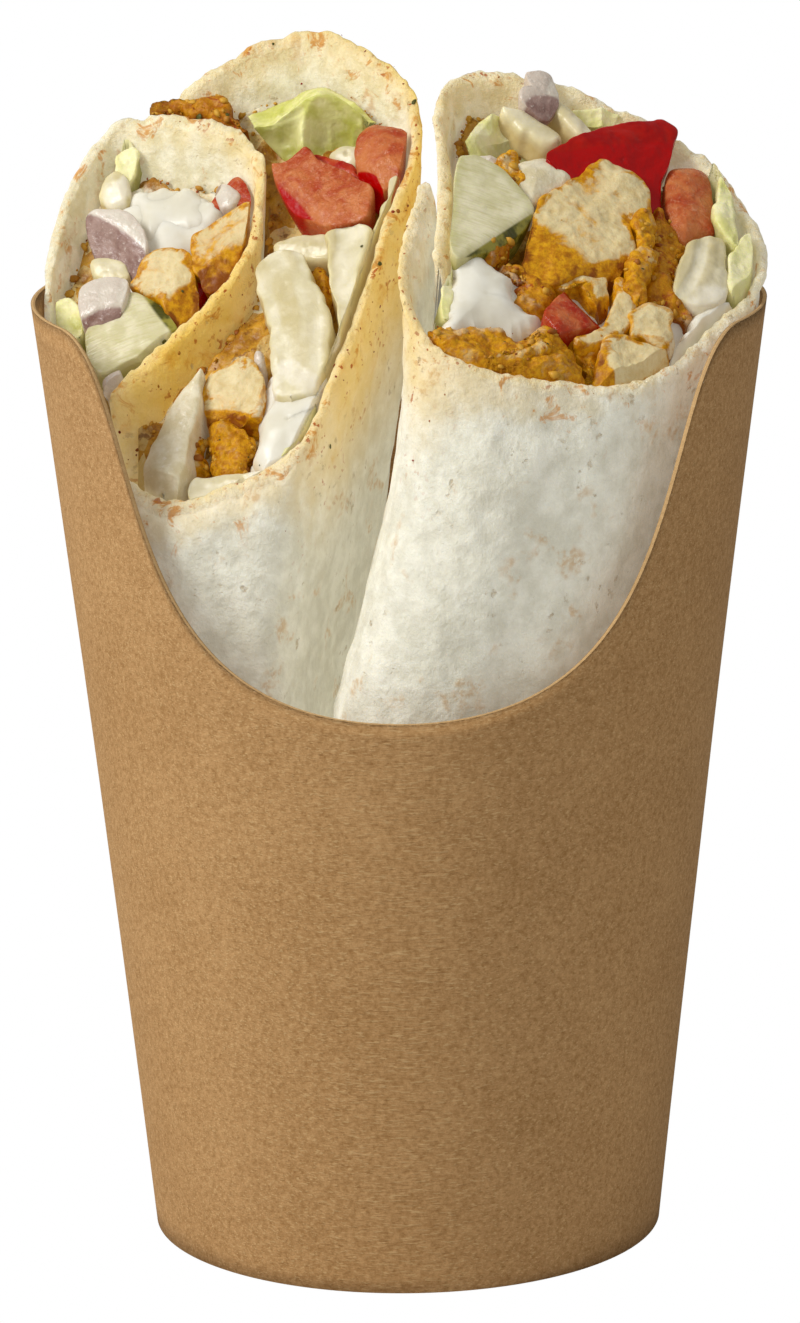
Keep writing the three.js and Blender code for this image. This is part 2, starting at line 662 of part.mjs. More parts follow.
		turn: -21, square: 3, taper: 0.21, top: 0.6, dome: 1, rough: 0.7 },
	{ name: 'chicken_middle', half: RIGHT, finish: 'chicken', at: [ -8.8, -3.6 ], size: [ 9, 4.8 ],
		turn: -82, square: 2.5, taper: 0.4, bow: 1.6, top: -0.6, dome: 0.8, rough: 0.5 },
	{ name: 'chicken_curl', half: RIGHT, finish: 'paleChicken', at: [ -1.2, -11.4 ], size: [ 12.6, 2.8 ],
		turn: -137, square: 3, taper: 0.1, bow: 1.4, top: 0, dome: 0.4 },
	{ name: 'chicken_strip', half: RIGHT, finish: 'chicken', at: [ -5.8, -15.4 ], size: [ 7, 4 ],
		turn: 75, taper: 0.3, top: -0.6, rough: 0.3 },
	{ name: 'sauce_left', half: RIGHT, finish: 'sauce', at: [ -14.6, -4 ], size: [ 12.7, 9.6 ],
		turn: -93, square: 3, taper: 0.35, top: -0.4, dome: 1.6, rough: 0.3 },
	{ name: 'sauce_right', half: RIGHT, finish: 'sauce', at: [ 9.2, -13.6 ], size: [ 12.6, 5 ],
		turn: 45, square: 2.6, taper: 0.13, bow: 0.6, top: 0.6, dome: 1.6, rough: 0.15 },
	{ name: 'lettuce_strip_left', half: RIGHT, finish: 'lettuce', at: [ -17.9, -1.4 ], size: [ 15, 1.6 ],
		turn: -111, square: 2.7, top: -1, dome: 0.4 },
];

const LEAVES = [
	{ name: 'lettuce_leaf', half: LEFT, finish: 'lettuce', thick: 0.8, ripple: 0.4, seed: 1,
		rims: [
			[ [ -7, 24, -2 ], [ -3, 28, -2.6 ], [ 2, 29, -2.6 ], [ 7, 27, -2.6 ], [ 11, 24, -2 ] ],
			[ [ -4, 20, 2 ], [ -1, 22, 3 ], [ 2, 24, 3 ], [ 5, 26, 2 ], [ 9, 25, 0 ] ],
			[ [ -1, 19, -2.6 ], [ 1, 18, -3.4 ], [ 4, 19, -3.8 ], [ 7, 20, -3.8 ], [ 9, 21, -3.4 ] ],
		] },
	{ name: 'lettuce_back_left', half: RIGHT, finish: 'lettuce', thick: 0.8, ripple: 0.3, seed: 2,
		rims: [
			[ [ -7, 20, -2 ], [ -3, 23.5, -2 ], [ 1, 24, -2 ], [ 4, 23, -2 ] ],
			[ [ -7, 18, -3 ], [ -3, 20, -3 ], [ 1, 21, -2 ], [ 4, 20, -2 ] ],
			[ [ -6, 16, -3.8 ], [ -3, 17.5, -3.8 ], [ 1, 18, -3.8 ], [ 4, 17, -3.8 ] ],
		] },
	{ name: 'lettuce_back_right', half: RIGHT, finish: 'lettuce', thick: 0.8, ripple: 0.3, seed: 4,
		rims: [
			[ [ 8, 22.6, 0 ], [ 11, 22.2, 0.4 ], [ 14, 21, 0 ], [ 16.5, 18.8, -1 ] ],
			[ [ 8, 20.6, 0 ], [ 10.6, 20, 0 ], [ 13, 19, -1 ], [ 15, 17.6, -1.6 ] ],
			[ [ 7, 18.8, -3.4 ], [ 9.6, 18.4, -3.8 ], [ 12, 17.6, -3.8 ], [ 14, 16.6, -3.8 ] ],
		] },
];

// ---- Assembly -----------------------------------------------------------------------

const wrap = new THREE.Group();

function add( name, finish, geometry ) {

	const mesh = new THREE.Mesh( geometry, new THREE.MeshStandardMaterial( { metalness: 0, ...FINISH[ finish ] } ) );
	mesh.name = name;
	wrap.add( mesh );

}

function largest( solid ) {

	const bodies = solid.decompose();
	return bodies.reduce( ( best, body ) => ( body.volume() > best.volume() ? body : best ), bodies[ 0 ] );

}

function boxesMeet( a, b ) {

	return [ 0, 1, 2 ].every( ( i ) => a.min[ i ] < b.max[ i ] && b.min[ i ] < a.max[ i ] );

}

add( 'cup_wall', 'kraft', cupWall() );
add( 'cup_base', 'kraft', cupBase() );
add( 'tortilla_left', 'bread', bread( LEFT, LEFT_ROLL, LEFT_STEPS, 0 ) );
add( 'tortilla_right', 'bread', bread( RIGHT, RIGHT_ROLL, RIGHT_STEPS, 0 ) );

// Packed filling: two sides of each space in the roll, both counted from its near corner.
add( 'filling_left_inner', 'filling', filling( LEFT,
	rail( LEFT_ROLL, - FILLING_INSET, 0.3, 9.3 ),
	rail( LEFT_ROLL, - FILLING_INSET, 14.6, 10.9 ), 12 ) );
add( 'filling_left_outer', 'filling', filling( LEFT,
	rail( LEFT_ROLL, FILLING_INSET, 0.3, 8.6 ),
	rail( LEFT_ROLL, - FILLING_INSET, 16, 30.3 ), 20 ) );
add( 'filling_right', 'filling', filling( RIGHT,
	rail( RIGHT_ROLL, FILLING_INSET, 0, 10.6 ),
	rail( RIGHT_ROLL, FILLING_INSET, 20, 11.4 ), 16 ) );

const obstacles = [
	toSolid( bread( LEFT, LEFT_ROLL, LEFT_STEPS, PIECE_GAP ) ),
	toSolid( bread( RIGHT, RIGHT_ROLL, RIGHT_STEPS, PIECE_GAP ) ),
];
const loose = [
	...PIECES.map( ( piece ) => ( { ...DEFAULTS, ...piece, shape: morsel } ) ),
	...LEAVES.map( ( piece ) => ( { ...piece, shape: leaf } ) ),
];
loose.forEach( ( piece, i ) => {

	piece.seed ??= i;
	let solid = toSolid( piece.shape( piece, 0 ) );
	const box = solid.boundingBox();
	for ( const obstacle of obstacles ) {

		if ( boxesMeet( box, obstacle.boundingBox() ) ) solid = solid.subtract( obstacle );

	}

	add( piece.name, piece.finish, toGeometry( largest( solid.simplify( FUSE ) ) ) );
	obstacles.push( toSolid( piece.shape( piece, PIECE_GAP ) ) );

} );

// The frame's origin is under the middle of the whole.
const middle = new THREE.Box3().setFromObject( wrap ).getCenter( new THREE.Vector3() );
for ( const mesh of wrap.children ) mesh.geometry.translate( - middle.x, - middle.y, 0 );

export default wrap;
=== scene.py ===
"""A chicken shawarma wrap, cut on the slant, standing in its scoop cup.

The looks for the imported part: the board of the cup, the rolled flatbread, the filling and every
loose piece in the two cut faces. Lengths in this file are millimetres about the cup's axis, but
for the camera, the lamps and the floor, which are in metres.
"""

import math

import bpy
import numpy as np
from bpy.props import FloatProperty, FloatVectorProperty, PointerProperty
from mathutils import Matrix, Vector


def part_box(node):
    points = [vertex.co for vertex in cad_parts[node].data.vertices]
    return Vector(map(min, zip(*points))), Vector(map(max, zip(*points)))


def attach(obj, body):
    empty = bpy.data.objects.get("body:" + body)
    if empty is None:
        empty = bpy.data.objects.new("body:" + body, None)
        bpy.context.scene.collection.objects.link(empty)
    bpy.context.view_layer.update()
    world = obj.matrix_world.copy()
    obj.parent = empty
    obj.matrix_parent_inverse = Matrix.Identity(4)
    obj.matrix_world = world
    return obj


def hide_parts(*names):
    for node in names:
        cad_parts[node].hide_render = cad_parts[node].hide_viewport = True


bl_info = {
    "name": "Shawarma wrap in a scoop cup",
    "version": (1, 0, 0),
    "blender": (4, 5, 0),
    "location": "View3D > Sidebar > Wrap",
    "description": "Builds a cut chicken shawarma wrap standing in a kraft board cup",
    "category": "Add Mesh",
}

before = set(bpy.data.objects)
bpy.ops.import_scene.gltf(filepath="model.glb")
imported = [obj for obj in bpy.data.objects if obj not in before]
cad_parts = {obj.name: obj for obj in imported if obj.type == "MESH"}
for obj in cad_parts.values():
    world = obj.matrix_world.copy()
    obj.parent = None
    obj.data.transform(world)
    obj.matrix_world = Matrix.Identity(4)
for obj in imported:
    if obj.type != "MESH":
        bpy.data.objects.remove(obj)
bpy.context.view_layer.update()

# ---- Sizes ---------------------------------------------------------------------------

CUP_BASE_RADIUS = 32.0
CUP_RIM_RADIUS = 45.4
CUP_HEIGHT = 118.5
CUP_FLARE = 0.34
BOARD = 0.55
# The foot is folded in to this thickness and height, and the base lies on the fold.
HEM = 1.3
HEM_HEIGHT = 6.0
# The scoop's lowest height, and the angles from the front, in degrees, of its Bezier's four points.
SCOOP_LOW = 74.0
SCOOP_REACH = (0.0, 62.5, 41.7, 64.6)
# The glued overlap at the cup's back: where it starts and ends and how wide its two slopes are, in
# degrees from the front, and how far it stands out.
SEAM_FROM, SEAM_TO, SEAM_SLOPE = 183.0, 195.2, 1.2
SEAM_RISE = 0.35
# The wall isn't quite round: the size and height of its slow waves, and the radius they are read at.
WALL_WAVE, WAVE_HEIGHT = 38.0, 0.12
MEAN_RADIUS = 40.0
# Points along the scoop, and rows up each face of the wall and over its cut edge.
SCOOP_POINTS, WALL_ROWS, EDGE_ROWS = 110, 40, 5
# The row of each face next to the cut edge is lowered by this much.
EDGE_DROP = 0.1

# The part's frame has its origin under the middle of its box; the cup's axis lies this far off.
AXIS_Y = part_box("cup_wall")[1].y * 1000 - CUP_RIM_RADIUS

# The food keeps this far from the board. From a little above the rim it may swell out again, by
# this much for each millimetre up.
FOOD_GAP = 0.4
SWELL_FROM = 0.8
SWELL = 0.5

# Heights that each fibre of the bread and the filling passes half way down and at its foot.
MID_LEVEL = 72.0
FOOT_LEVEL = 7.6
# Heights over the cut plane: where the pieces end, where the filling starts, and how much its
# crumbly top then rises.
PIECE_FLOOR = -4.0
FILLING_TOP = -4.8
FILLING_RISE = 1.0

BREAD_THICKNESS = 2.0
# Rows of the bread down to half its depth, closer near the cut, then below it, and over its edge.
UPPER_ROWS, LOWER_ROWS, LIP_ROWS = 72, 13, 9
CROWDING = 1.15
# Over this many knots from each end the sheet narrows to a round end.
SHEET_PINCH = 0.16
# The filling's sides lie this far from the middle of the sheet.
FILLING_INSET = 1.6
LEAF_THICKNESS = 0.6
# Rings of a slab's top and of its sides, and points over a strip's top and down its sides.
TOP_RINGS, WALL_RINGS = 44, 18
TOP_POINTS, SIDE_POINTS = 30, 11
# Points that are compared with a line of others at a time, to save memory.
BATCH = 4000
# How far a crumb strays from the point it lands on.
CRUMB_SCATTER = 0.12
# The seeds of the scraps start here, past those of the pieces.
SCRAP_SEED = 101
# How far the sides of a piece stand upright, between square to the cut (0) and plumb (1).
UPRIGHT = 0.3

# Each half's cut is the plane z = level + slope . (x, y). Its sections half way down and at the
# foot have their own middle and are scaled across, in front of the centre and behind it. Below
# the cut its side at the crease leans to the right by up to the first number of `hollow`: in full
# at the second's x on the cut, and not at all at the third's.
LEFT = {
    "level": 130.8,
    "slope": (0.42, 0.92),
    "centre": (-20.0, 0.0),
    "mid": ((-20.8, 1.5), (0.7, 1.08, 0.85)),
    "foot": ((-18.4, 0.0), (0.49, 0.75, 0.75)),
    "hollow": (1.4, 2.0, -16.0),
}
RIGHT = {
    "level": 141.0,
    "slope": (-0.36, 0.72),
    "centre": (22.0, -10.0),
    "mid": ((13.6, -8.2), (0.98, 1.18, 1.15)),
    "foot": ((10.5, -5.0), (0.8, 0.85, 0.85)),
    "hollow": (4.2, 7.0, 26.0),
}
# Above 0 and below 1 it draws the lean's deepest place up towards the cut.
HOLLOW_SKEW = 0.85

# The middle of each rolled sheet, seen from above on its cut, from its inner end outwards.
LEFT_ROLL = [
    (-35.5, -8.6), (-30.4, -6.4), (-25.6, -4.6), (-21, -2), (-17.9, 1.8), (-17.2, 5.8),
    (-17, 10.4), (-19.4, 14.4), (-24.6, 18), (-30.2, 21), (-35, 22.8),
    (-38.9, 19.6), (-42.2, 13.4), (-43.8, 6), (-42.6, -3), (-39, -11.4), (-33.4, -19.4),
    (-27.4, -24.2), (-20.6, -24.9), (-13.8, -24.6), (-10.6, -21.9), (-7.6, -16.6), (-4.6, -10.4),
    (-1.6, -3.6), (1.6, 2.6), (2.4, 8.4), (0.4, 13.6), (-4.6, 18.6), (-11, 22.8),
    (-18, 23.8), (-23, 23.2), (-27.4, 22.4),
]
RIGHT_ROLL = [
    (4.8, -19), (5.6, -11), (5.6, -4.6), (5.2, 1.6), (6.4, 6.8), (10.4, 10.2), (17.8, 11.2),
    (25.6, 11.3), (33, 11), (38.6, 8), (42.8, 2.8), (44.6, -2.8), (43.6, -8.4), (39.6, -13.4),
    (35.2, -19), (30.4, -24.3), (25.6, -27.8), (19.8, -29.8), (13.6, -31.3), (8, -31.5),
    (3.6, -29.8), (1, -25.6), (0.8, -20), (1.7, -15.6), (2.6, -11.6), (3.5, -7.8),
]

# Along each path, by knot: whether a face touches the filling, and how far oil and spice have
# stained it. The first list is for the face on the left of the path, the second for the right.
LEFT_FACES = {
    "knots": [0, 1.5, 3, 5, 7, 9.4, 9.8, 11, 14, 16, 19, 21, 24, 26, 29, 31],
    "food": ([1] * 16, [1, 1, 1, 1, 1, 1, 0, 0, 0, 0, 0, 0, 0, 0, 0, 0]),
    "warm": ([0.5, 0.6, 0.7, 0.6, 0.3, 0.1, 0.1, 0.1, 0.1, 0.2, 0.3, 0.4, 0.3, 0.3, 0.2, 0.2],
             [0.7, 1.0, 0.9, 0.5, 0.2, 0.05, 0.05, 0.05, 0.05, 0.15, 0.3, 0.75, 0.95, 0.95, 0.5, 0.3]),
}
RIGHT_FACES = {
    "knots": [0, 2, 4, 5, 7, 9, 12, 14, 17, 19, 20.5, 22, 25],
    "food": ([0] * 13, [1, 1, 1, 1, 1, 1, 1, 1, 1, 1, 1, 0.5, 0]),
    "warm": ([0.3, 0.25, 0.25, 0.2, 0.1, 0.1, 0.1, 0.1, 0.12, 0.3, 0.65, 0.6, 0.3],
             [0.4, 0.4, 0.35, 0.3, 0.15, 0.05, 0.05, 0.15, 0.3, 0.4, 0.4, 0.3, 0.2]),
}


def slab(name, turn, kind, top, outline, facets=(), soft=0.2, floor=PIECE_FLOOR, tone=0.5,
         dome=0.3, tilt=(0, 0), free=False):
    """A piece with an outline of corners (u, v) on the cut; each facet slopes its top off to one side."""
    return {"name": name, "turn": turn, "kind": kind, "top": top, "outline": outline, "facets": facets,
            "soft": soft, "floor": floor, "tone": tone, "dome": dome, "tilt": tilt, "free": free}


def strip(name, turn, kind, top, path, floor=PIECE_FLOOR, tone=0.5, dome=0.0, tilt=(0, 0), free=False):
    """A long piece along a path of (u, v, width) on the cut; a negative dome hollows it."""
    return {"name": name, "turn": turn, "kind": kind, "top": top, "path": path, "facets": (),
            "floor": floor, "tone": tone, "dome": dome, "tilt": tilt, "free": free}


# The turns of the rolls that hold the pieces: the left half's two, and the right half's one.
INNER, OUTER, WHOLE = "inner turn", "outer turn", "whole roll"
HALF_OF = {INNER: LEFT, OUTER: LEFT, WHOLE: RIGHT}

# A facet is the direction in degrees on the cut, its distance from the middle and its steepness.
PIECES = [
    slab("tomato_curl_left", OUTER, "tomato", 1.0, [
        (10, 21), (11, 22.8), (13.5, 23.2), (16.5, 22.4), (19, 18.5), (19.6, 10), (18.6, 12), (17, 14.2),
        (14.8, 12.2), (12.2, 14), (10.5, 18)], [(-120, 2.5, 1.6)], tone=0.2, dome=1.2),
    slab("tomato_large_left", OUTER, "tomato", 0.6, [
        (-0.5, 15.5), (1.5, 16), (3.6, 18.8), (6, 16.5), (11, 15), (14.8, 13), (15.5, 8),
        (11, 6.3), (4.5, 9)],
        [(-128, 2.8, 0.6)], 0.14, tone=0.15, dome=0.2),
    strip("cabbage_rib", OUTER, "cabbage", 1.0, [
        (5.2, 1.8, 6.2), (8.6, -4, 7), (11.9, -9, 8.2), (13.4, -14, 7.6), (14.1, -19.4, 4.4)],
        tone=0.2, dome=0.5),
    strip("cabbage_strip_middle", OUTER, "cabbage", 1.2, [
        (13.6, 6.4, 6), (14.6, 2, 4.8), (15.6, -2, 3.2), (17.6, -6.2, 3),
        (18.8, -10, 3.4), (19.4, -14.5, 1.8)],
        tone=0.4, dome=-0.4),
    strip("cabbage_strip_side", OUTER, "cabbage", 0.4, [
        (16.8, 15, 1.4), (18.2, 10.5, 3), (18.4, 5, 3.2), (18.2, 0, 2.6), (19.4, -5.5, 1)], tone=1.0),
    strip("onion_long", OUTER, "onion", 1.4, [
        (1.4, -16.6, 0.5), (0.8, -22, 3.6), (0.8, -28, 5.4), (1, -35.4, 4.6)],
        tone=0.05, dome=0.5, tilt=(0.1, 0)),
    slab("chicken_low_pale", OUTER, "pale", 0.4, [
        (1, -18), (3, -15), (6.5, -13.2), (9, -15.5), (10.6, -20.5), (8.5, -22), (3.5, -22.5)],
        [(-90, 2.6, 1.2)], tone=0.15),
    slab("chicken_low_crumbly", OUTER, "torn", -0.4, [
        (2.5, -22.5), (5.5, -21.3), (9.5, -22.3), (10.6, -27), (10, -29), (6.5, -30.2), (4.5, -27.5)],
        tone=0.6, dome=1),
    slab("sauce_low", OUTER, "sauce", 0.6, [
        (11.5, -14.5), (11, -17), (10.5, -21), (11.5, -26), (12, -29), (13.5, -30.2), (16, -28), (17, -24.5),
        (18.5, -19.8), (20, -17.8), (19.5, -16.5), (16.5, -18)], soft=0.25, dome=0.6),
    strip("lettuce_low", OUTER, "lettuce", 0.2, [
        (14.4, -27, 1.6), (16.8, -23, 2.6), (19.6, -19, 1.4)], tone=0.4),
    slab("chicken_low_side", OUTER, "torn", -1.0, [
        (1, -22.5), (3.5, -25.5), (5.5, -29), (2, -29), (1, -27.5)], tone=0.5),
    strip("cabbage_rim", OUTER, "cabbage", 0.0, [
        (4, -32.4, 3.8), (8.6, -31.6, 4), (12.6, -30.2, 2.8), (16.5, -28, 0.8)], tone=0.3),
    slab("chicken_top", OUTER, "torn", 0.4, [
        (-21, 23.5), (-15.5, 24.6), (-13, 25.8), (-10, 25.2), (-4.5, 20.6), (-8, 21), (-14, 22.2)],
        tone=0.95, dome=0.6),
    slab("onion_red_upper", INNER, "onion", 1.2, [
        (-22.5, 6), (-16, 6.7), (-13, 3.4), (-12.5, 1), (-13.2, -1.2), (-16.5, -1.2),
        (-20, 0.8), (-21.9, 3.5)],
        [(-110, -1.2, 0.8)], tone=0.75, tilt=(-0.05, 0.05)),
    slab("onion_red_lower", INNER, "onion", 1.6, [
        (-19.2, -5.4), (-17, -3.8), (-12.8, -3.4), (-12.3, -6), (-13, -10.6), (-14.5, -11.6), (-17.5, -10.6),
        (-18.7, -8)], [(-65, 1.2, 1)], tone=0.75),
    slab("onion_red_small", INNER, "onion", -1.6, [
        (-8.5, 14.6), (-5.5, 13), (-4, 12), (-4.5, 10), (-6, 9.8), (-7.6, 12)], [(170, 0.8, 1)], 0.15,
        tone=0.8),
    slab("chicken_slice", INNER, "pale", 0.6, [
        (-7.5, 4), (-4.5, 6.6), (-1, 9.6), (0.6, 9.2), (1.6, 8), (2, 3.5), (1, 1.5), (-1.5, -2), (-3.5, -3.5),
        (-5.5, -1)], [(-50, 1.4, 0.6)], 0.16, tone=0.4),
    slab("chicken_slab", INNER, "pale", 0.6, [
        (-13.6, -4), (-12, 0.6), (-10, 2.2), (-6.8, 2.2), (-4.3, -2), (-3, -6), (-4, -10.6), (-5, -10.4),
        (-7, -7), (-10, -5)], [(-38, 1.6, 0.7)], 0.14, tone=0.25),
    slab("cucumber_left", INNER, "cucumber", 0.4, [
        (-17, -11), (-14.5, -9), (-13.5, -5.5), (-12, -4.8), (-8.5, -6), (-5.5, -8.5), (-3.8, -11.5),
        (-5.5, -13.7), (-9, -14.6), (-12.5, -17.6), (-15.2, -15.5)], [(48, 3.6, 0.45)], 0.14, dome=0.1),
    slab("tomato_dark_left", INNER, "tomato", -1.8, [
        (-7, -0.5), (-4.5, 1.5), (-1.5, 5), (-0.5, 4), (-3.5, -1.5), (-5, -4.5), (-6, -3.5)], tone=0.9),
    slab("tomato_small_left", INNER, "tomato", -2.0, [
        (-6.5, 15), (-4.5, 15.5), (-1, 11.5), (-4, 10.8), (-7.5, 9.8), (-8, 10.8)], tone=0.4),
    slab("sauce_upper_left", INNER, "sauce", -1.4, [
        (-20.5, 9.5), (-19, 13), (-16.5, 11.8), (-14, 12.5), (-11, 13.2), (-8.5, 12.6), (-7, 10.5), (-6, 8.6),
        (-9, 5.5), (-12, 5.6), (-13, 3.5), (-14, 3), (-16, 5), (-19, 8)], soft=0.25, dome=1.2),
    strip("lettuce_wall", INNER, "lettuce", -1.8, [
        (-22.4, 19.6, 1.6), (-21.2, 16, 3), (-20.4, 11.8, 1.8)], tone=0.35),
    strip("lettuce_edge_left", INNER, "lettuce", -0.8, [
        (-22, -6.4, 2.2), (-20, -9.4, 3), (-18, -11.5, 1.4)], tone=0.6),
    slab("onion_top", WHOLE, "onion", 1.6, [
        (3.8, 28.2), (5.5, 28.4), (7.1, 27.3), (7.1, 24.5), (6.5, 22.8), (4.5, 21.4), (3, 22), (1.5, 24),
        (2.3, 25.6), (3.9, 25.6)], [(-90, 0.6, 0.7)], 0.15, floor=-1.4, tone=0.9, free=True),
    slab("tomato_strip", WHOLE, "tomato", 2.0, [
        (0.3, 14.2), (6, 16.6), (12.5, 17.8), (18.5, 17.8), (20.2, 16), (17, 11.5), (15.3, 9.5), (13.4, 3),
        (12.1, 3.2), (11, 9), (8, 12), (3, 10)], [(-90, -2.2, 0.35)], 0.1, tone=1.0, dome=0.1),
    strip("chicken_ridge", WHOLE, "torn", 1.9, [
        (9.6, 3, 2.2), (8.6, -0.5, 2.8), (5.8, -4.6, 2.8), (3.5, -10, 1.4)], tone=0.35, dome=0.3),
    slab("chicken_large", WHOLE, "pale", 1.4, [
        (-4.5, 5.5), (-2.5, 8), (1.5, 9.6), (6.5, 12.6), (8.6, 13.2), (11.5, 10.8), (12.7, 7.5), (10.5, 3),
        (7.5, 2), (6.5, -2.5), (3, -5.2), (-2, -4), (-6.5, -4.6), (-9.4, -5.2), (-8.6, -1.5)],
        [(207, 4.2, 0.25), (-90, 6, 0.8)], 0.12, tone=0.2),
    slab("cucumber_right", WHOLE, "cucumber", 1.2, [
        (-10.6, 15.6), (-8, 15.6), (-5.4, 13), (-3.9, 8), (-3.9, 6), (-6, 3.8), (-11, 1.2), (-17, -0.7),
        (-17.6, 0.5), (-16.5, 4.5)], [(-63, 3.9, 0.9)], 0.14, dome=0.1),
    slab("onion_white", WHOLE, "onion", 1.0, [
        (-3, 14.6), (0.5, 15.2), (3, 14), (4, 11.5), (3.5, 10.3), (0, 9.3), (-3.5, 7.4), (-4, 9.5),
        (-3.5, 12.5)], tone=0.15, dome=0.8),
    slab("chicken_fleck", WHOLE, "torn", 0.6, [
        (-4.5, 16), (-2.5, 16), (-2.5, 13.5), (-3, 10.5), (-5, 12.5), (-5, 15)], tone=0.15),
    slab("tomato_pink", WHOLE, "tomato", 0.8, [
        (17, 12), (21.5, 11.5), (22.5, 9.5), (21.5, 6), (19.5, 0.8), (16.5, 0.8), (14.5, -0.6), (13.7, 2),
        (14.5, 6)], tone=0.2, dome=1.1),
    slab("cabbage_block", WHOLE, "cabbage", 1.4, [
        (14, -1.4), (17.5, -0.4), (19.6, -1.5), (16.4, -9), (14.6, -11.6), (11, -11.7),
        (8.4, -10), (10, -6.5)],
        soft=0.14, tone=0.1),
    slab("chicken_spiced_slab", WHOLE, "torn", 0.4, [
        (13, 6), (14.5, 4), (15, 0), (12, -3.5), (10, -8.5), (12.5, -10.5), (9.5, -13.6), (8, -11),
        (5.3, -9.5), (6.3, -5), (9.3, -1)], [(0, 3.6, 0.8)], 0.15, tone=0.85),
    strip("lettuce_ribbon_outer", WHOLE, "lettuce", 1.4, [
        (24.4, 10.4, 0.8), (22.6, 5.6, 2), (20.5, 1, 2.2), (20.4, -3.2, 1.2)], tone=0.35),
    strip("lettuce_ribbon_inner", WHOLE, "lettuce", 1.2, [
        (23.2, -1.4, 1.2), (20.6, -4.6, 3.4), (18.2, -8.6, 2.6), (16.8, -10.6, 1)], tone=0.15),
    slab("tomato_wedge", WHOLE, "tomato", 1.2, [
        (-3, -4.9), (-2, -5.6), (-1.9, -12.2), (-5, -13.3), (-8.8, -13.6), (-9.7, -10), (-6, -7.4)],
        [(20, 0.4, 1)], 0.12, tone=0.45),
    slab("chicken_cube_middle", WHOLE, "pale", 0.2, [
        (-5.5, -3.5), (-3, -2.8), (0.5, -2.8), (2.5, -4), (0.5, -9.5), (-1.5, -10.5), (-2, -5), (-5, -6)],
        [(-60, 2.4, 1)], 0.14, tone=0.2),
    slab("chicken_cube_small", WHOLE, "pale", 1.2, [
        (1.4, -11.6), (3, -10.7), (7.1, -11.2), (5.8, -16), (4.6, -18), (3, -16.5), (0.5, -15)],
        [(-60, 2.6, 1.2)], 0.12, tone=0.05),
    slab("chicken_cube_front", WHOLE, "pale", 1.2, [
        (-2.6, -14.3), (0, -14.8), (4.2, -18.4), (4.8, -19.5), (3, -22.8), (-1.5, -23.8), (-7.1, -24.8),
        (-6.6, -21), (-4.2, -16)], [(-175, 2.6, 1)], 0.14, tone=0.05),
    slab("chicken_front", WHOLE, "torn", 0.8, [
        (-26.7, -10), (-22, -9.4), (-16, -10.8), (-13, -13), (-10, -11), (-8, -11.3), (-7.6, -18),
        (-6.3, -22), (-7, -23.7), (-11.5, -23.2), (-16, -22.7), (-21, -20.7), (-25, -17.6), (-26.7, -13.5)],
        tone=0.6, dome=0.8),
    slab("chicken_middle", WHOLE, "torn", -0.4, [
        (-10.5, 1.5), (-8, -1.5), (-5, -3), (-5, -5), (-6, -6.5), (-8.5, -8.5), (-11.5, -8), (-11, -5.5),
        (-9.5, -2.5), (-11.7, -0.5)], tone=0.75, dome=0.6),
    strip("chicken_curl", WHOLE, "pale", 0.6, [
        (2.8, -5.6, 1.6), (2.8, -8.8, 2.2), (0.4, -12, 2.4), (-2.8, -14, 2.2),
        (-6.8, -14.8, 1.8)], tone=0.25),
    slab("chicken_strip", WHOLE, "torn", -0.4, [
        (-7, -12.3), (-2, -12.3), (-3, -14.5), (-5.5, -20), (-6.5, -21), (-7, -17)], tone=0.45),
    slab("sauce_left", WHOLE, "sauce", 0.2, [
        (-18, 1.6), (-15.5, 1.6), (-12, 1), (-11.5, -2), (-10, -3), (-10.5, -5.5), (-11.5, -7.2), (-8, -8.8),
        (-9.5, -10.5), (-12.5, -12.4), (-15.5, -10.5), (-20.5, -11), (-22.2, -9.5),
        (-20.2, -5), (-18.7, -0.5)],
        soft=0.25, dome=0.8),
    slab("sauce_right", WHOLE, "sauce", 0.8, [
        (9.5, -13.5), (11.5, -11.4), (14, -10.4), (16, -10.9), (16, -12.6), (12.5, -16.7), (8.5, -19.2),
        (6, -21.2), (5.4, -18), (7.5, -15)], soft=0.25, dome=0.8),
    strip("lettuce_strip_left", WHOLE, "lettuce", -0.8, [
        (-16, 6.2, 1), (-17.6, 1, 1.8), (-19.3, -4, 1.8), (-21.2, -8.2, 1)], tone=0.1),
]

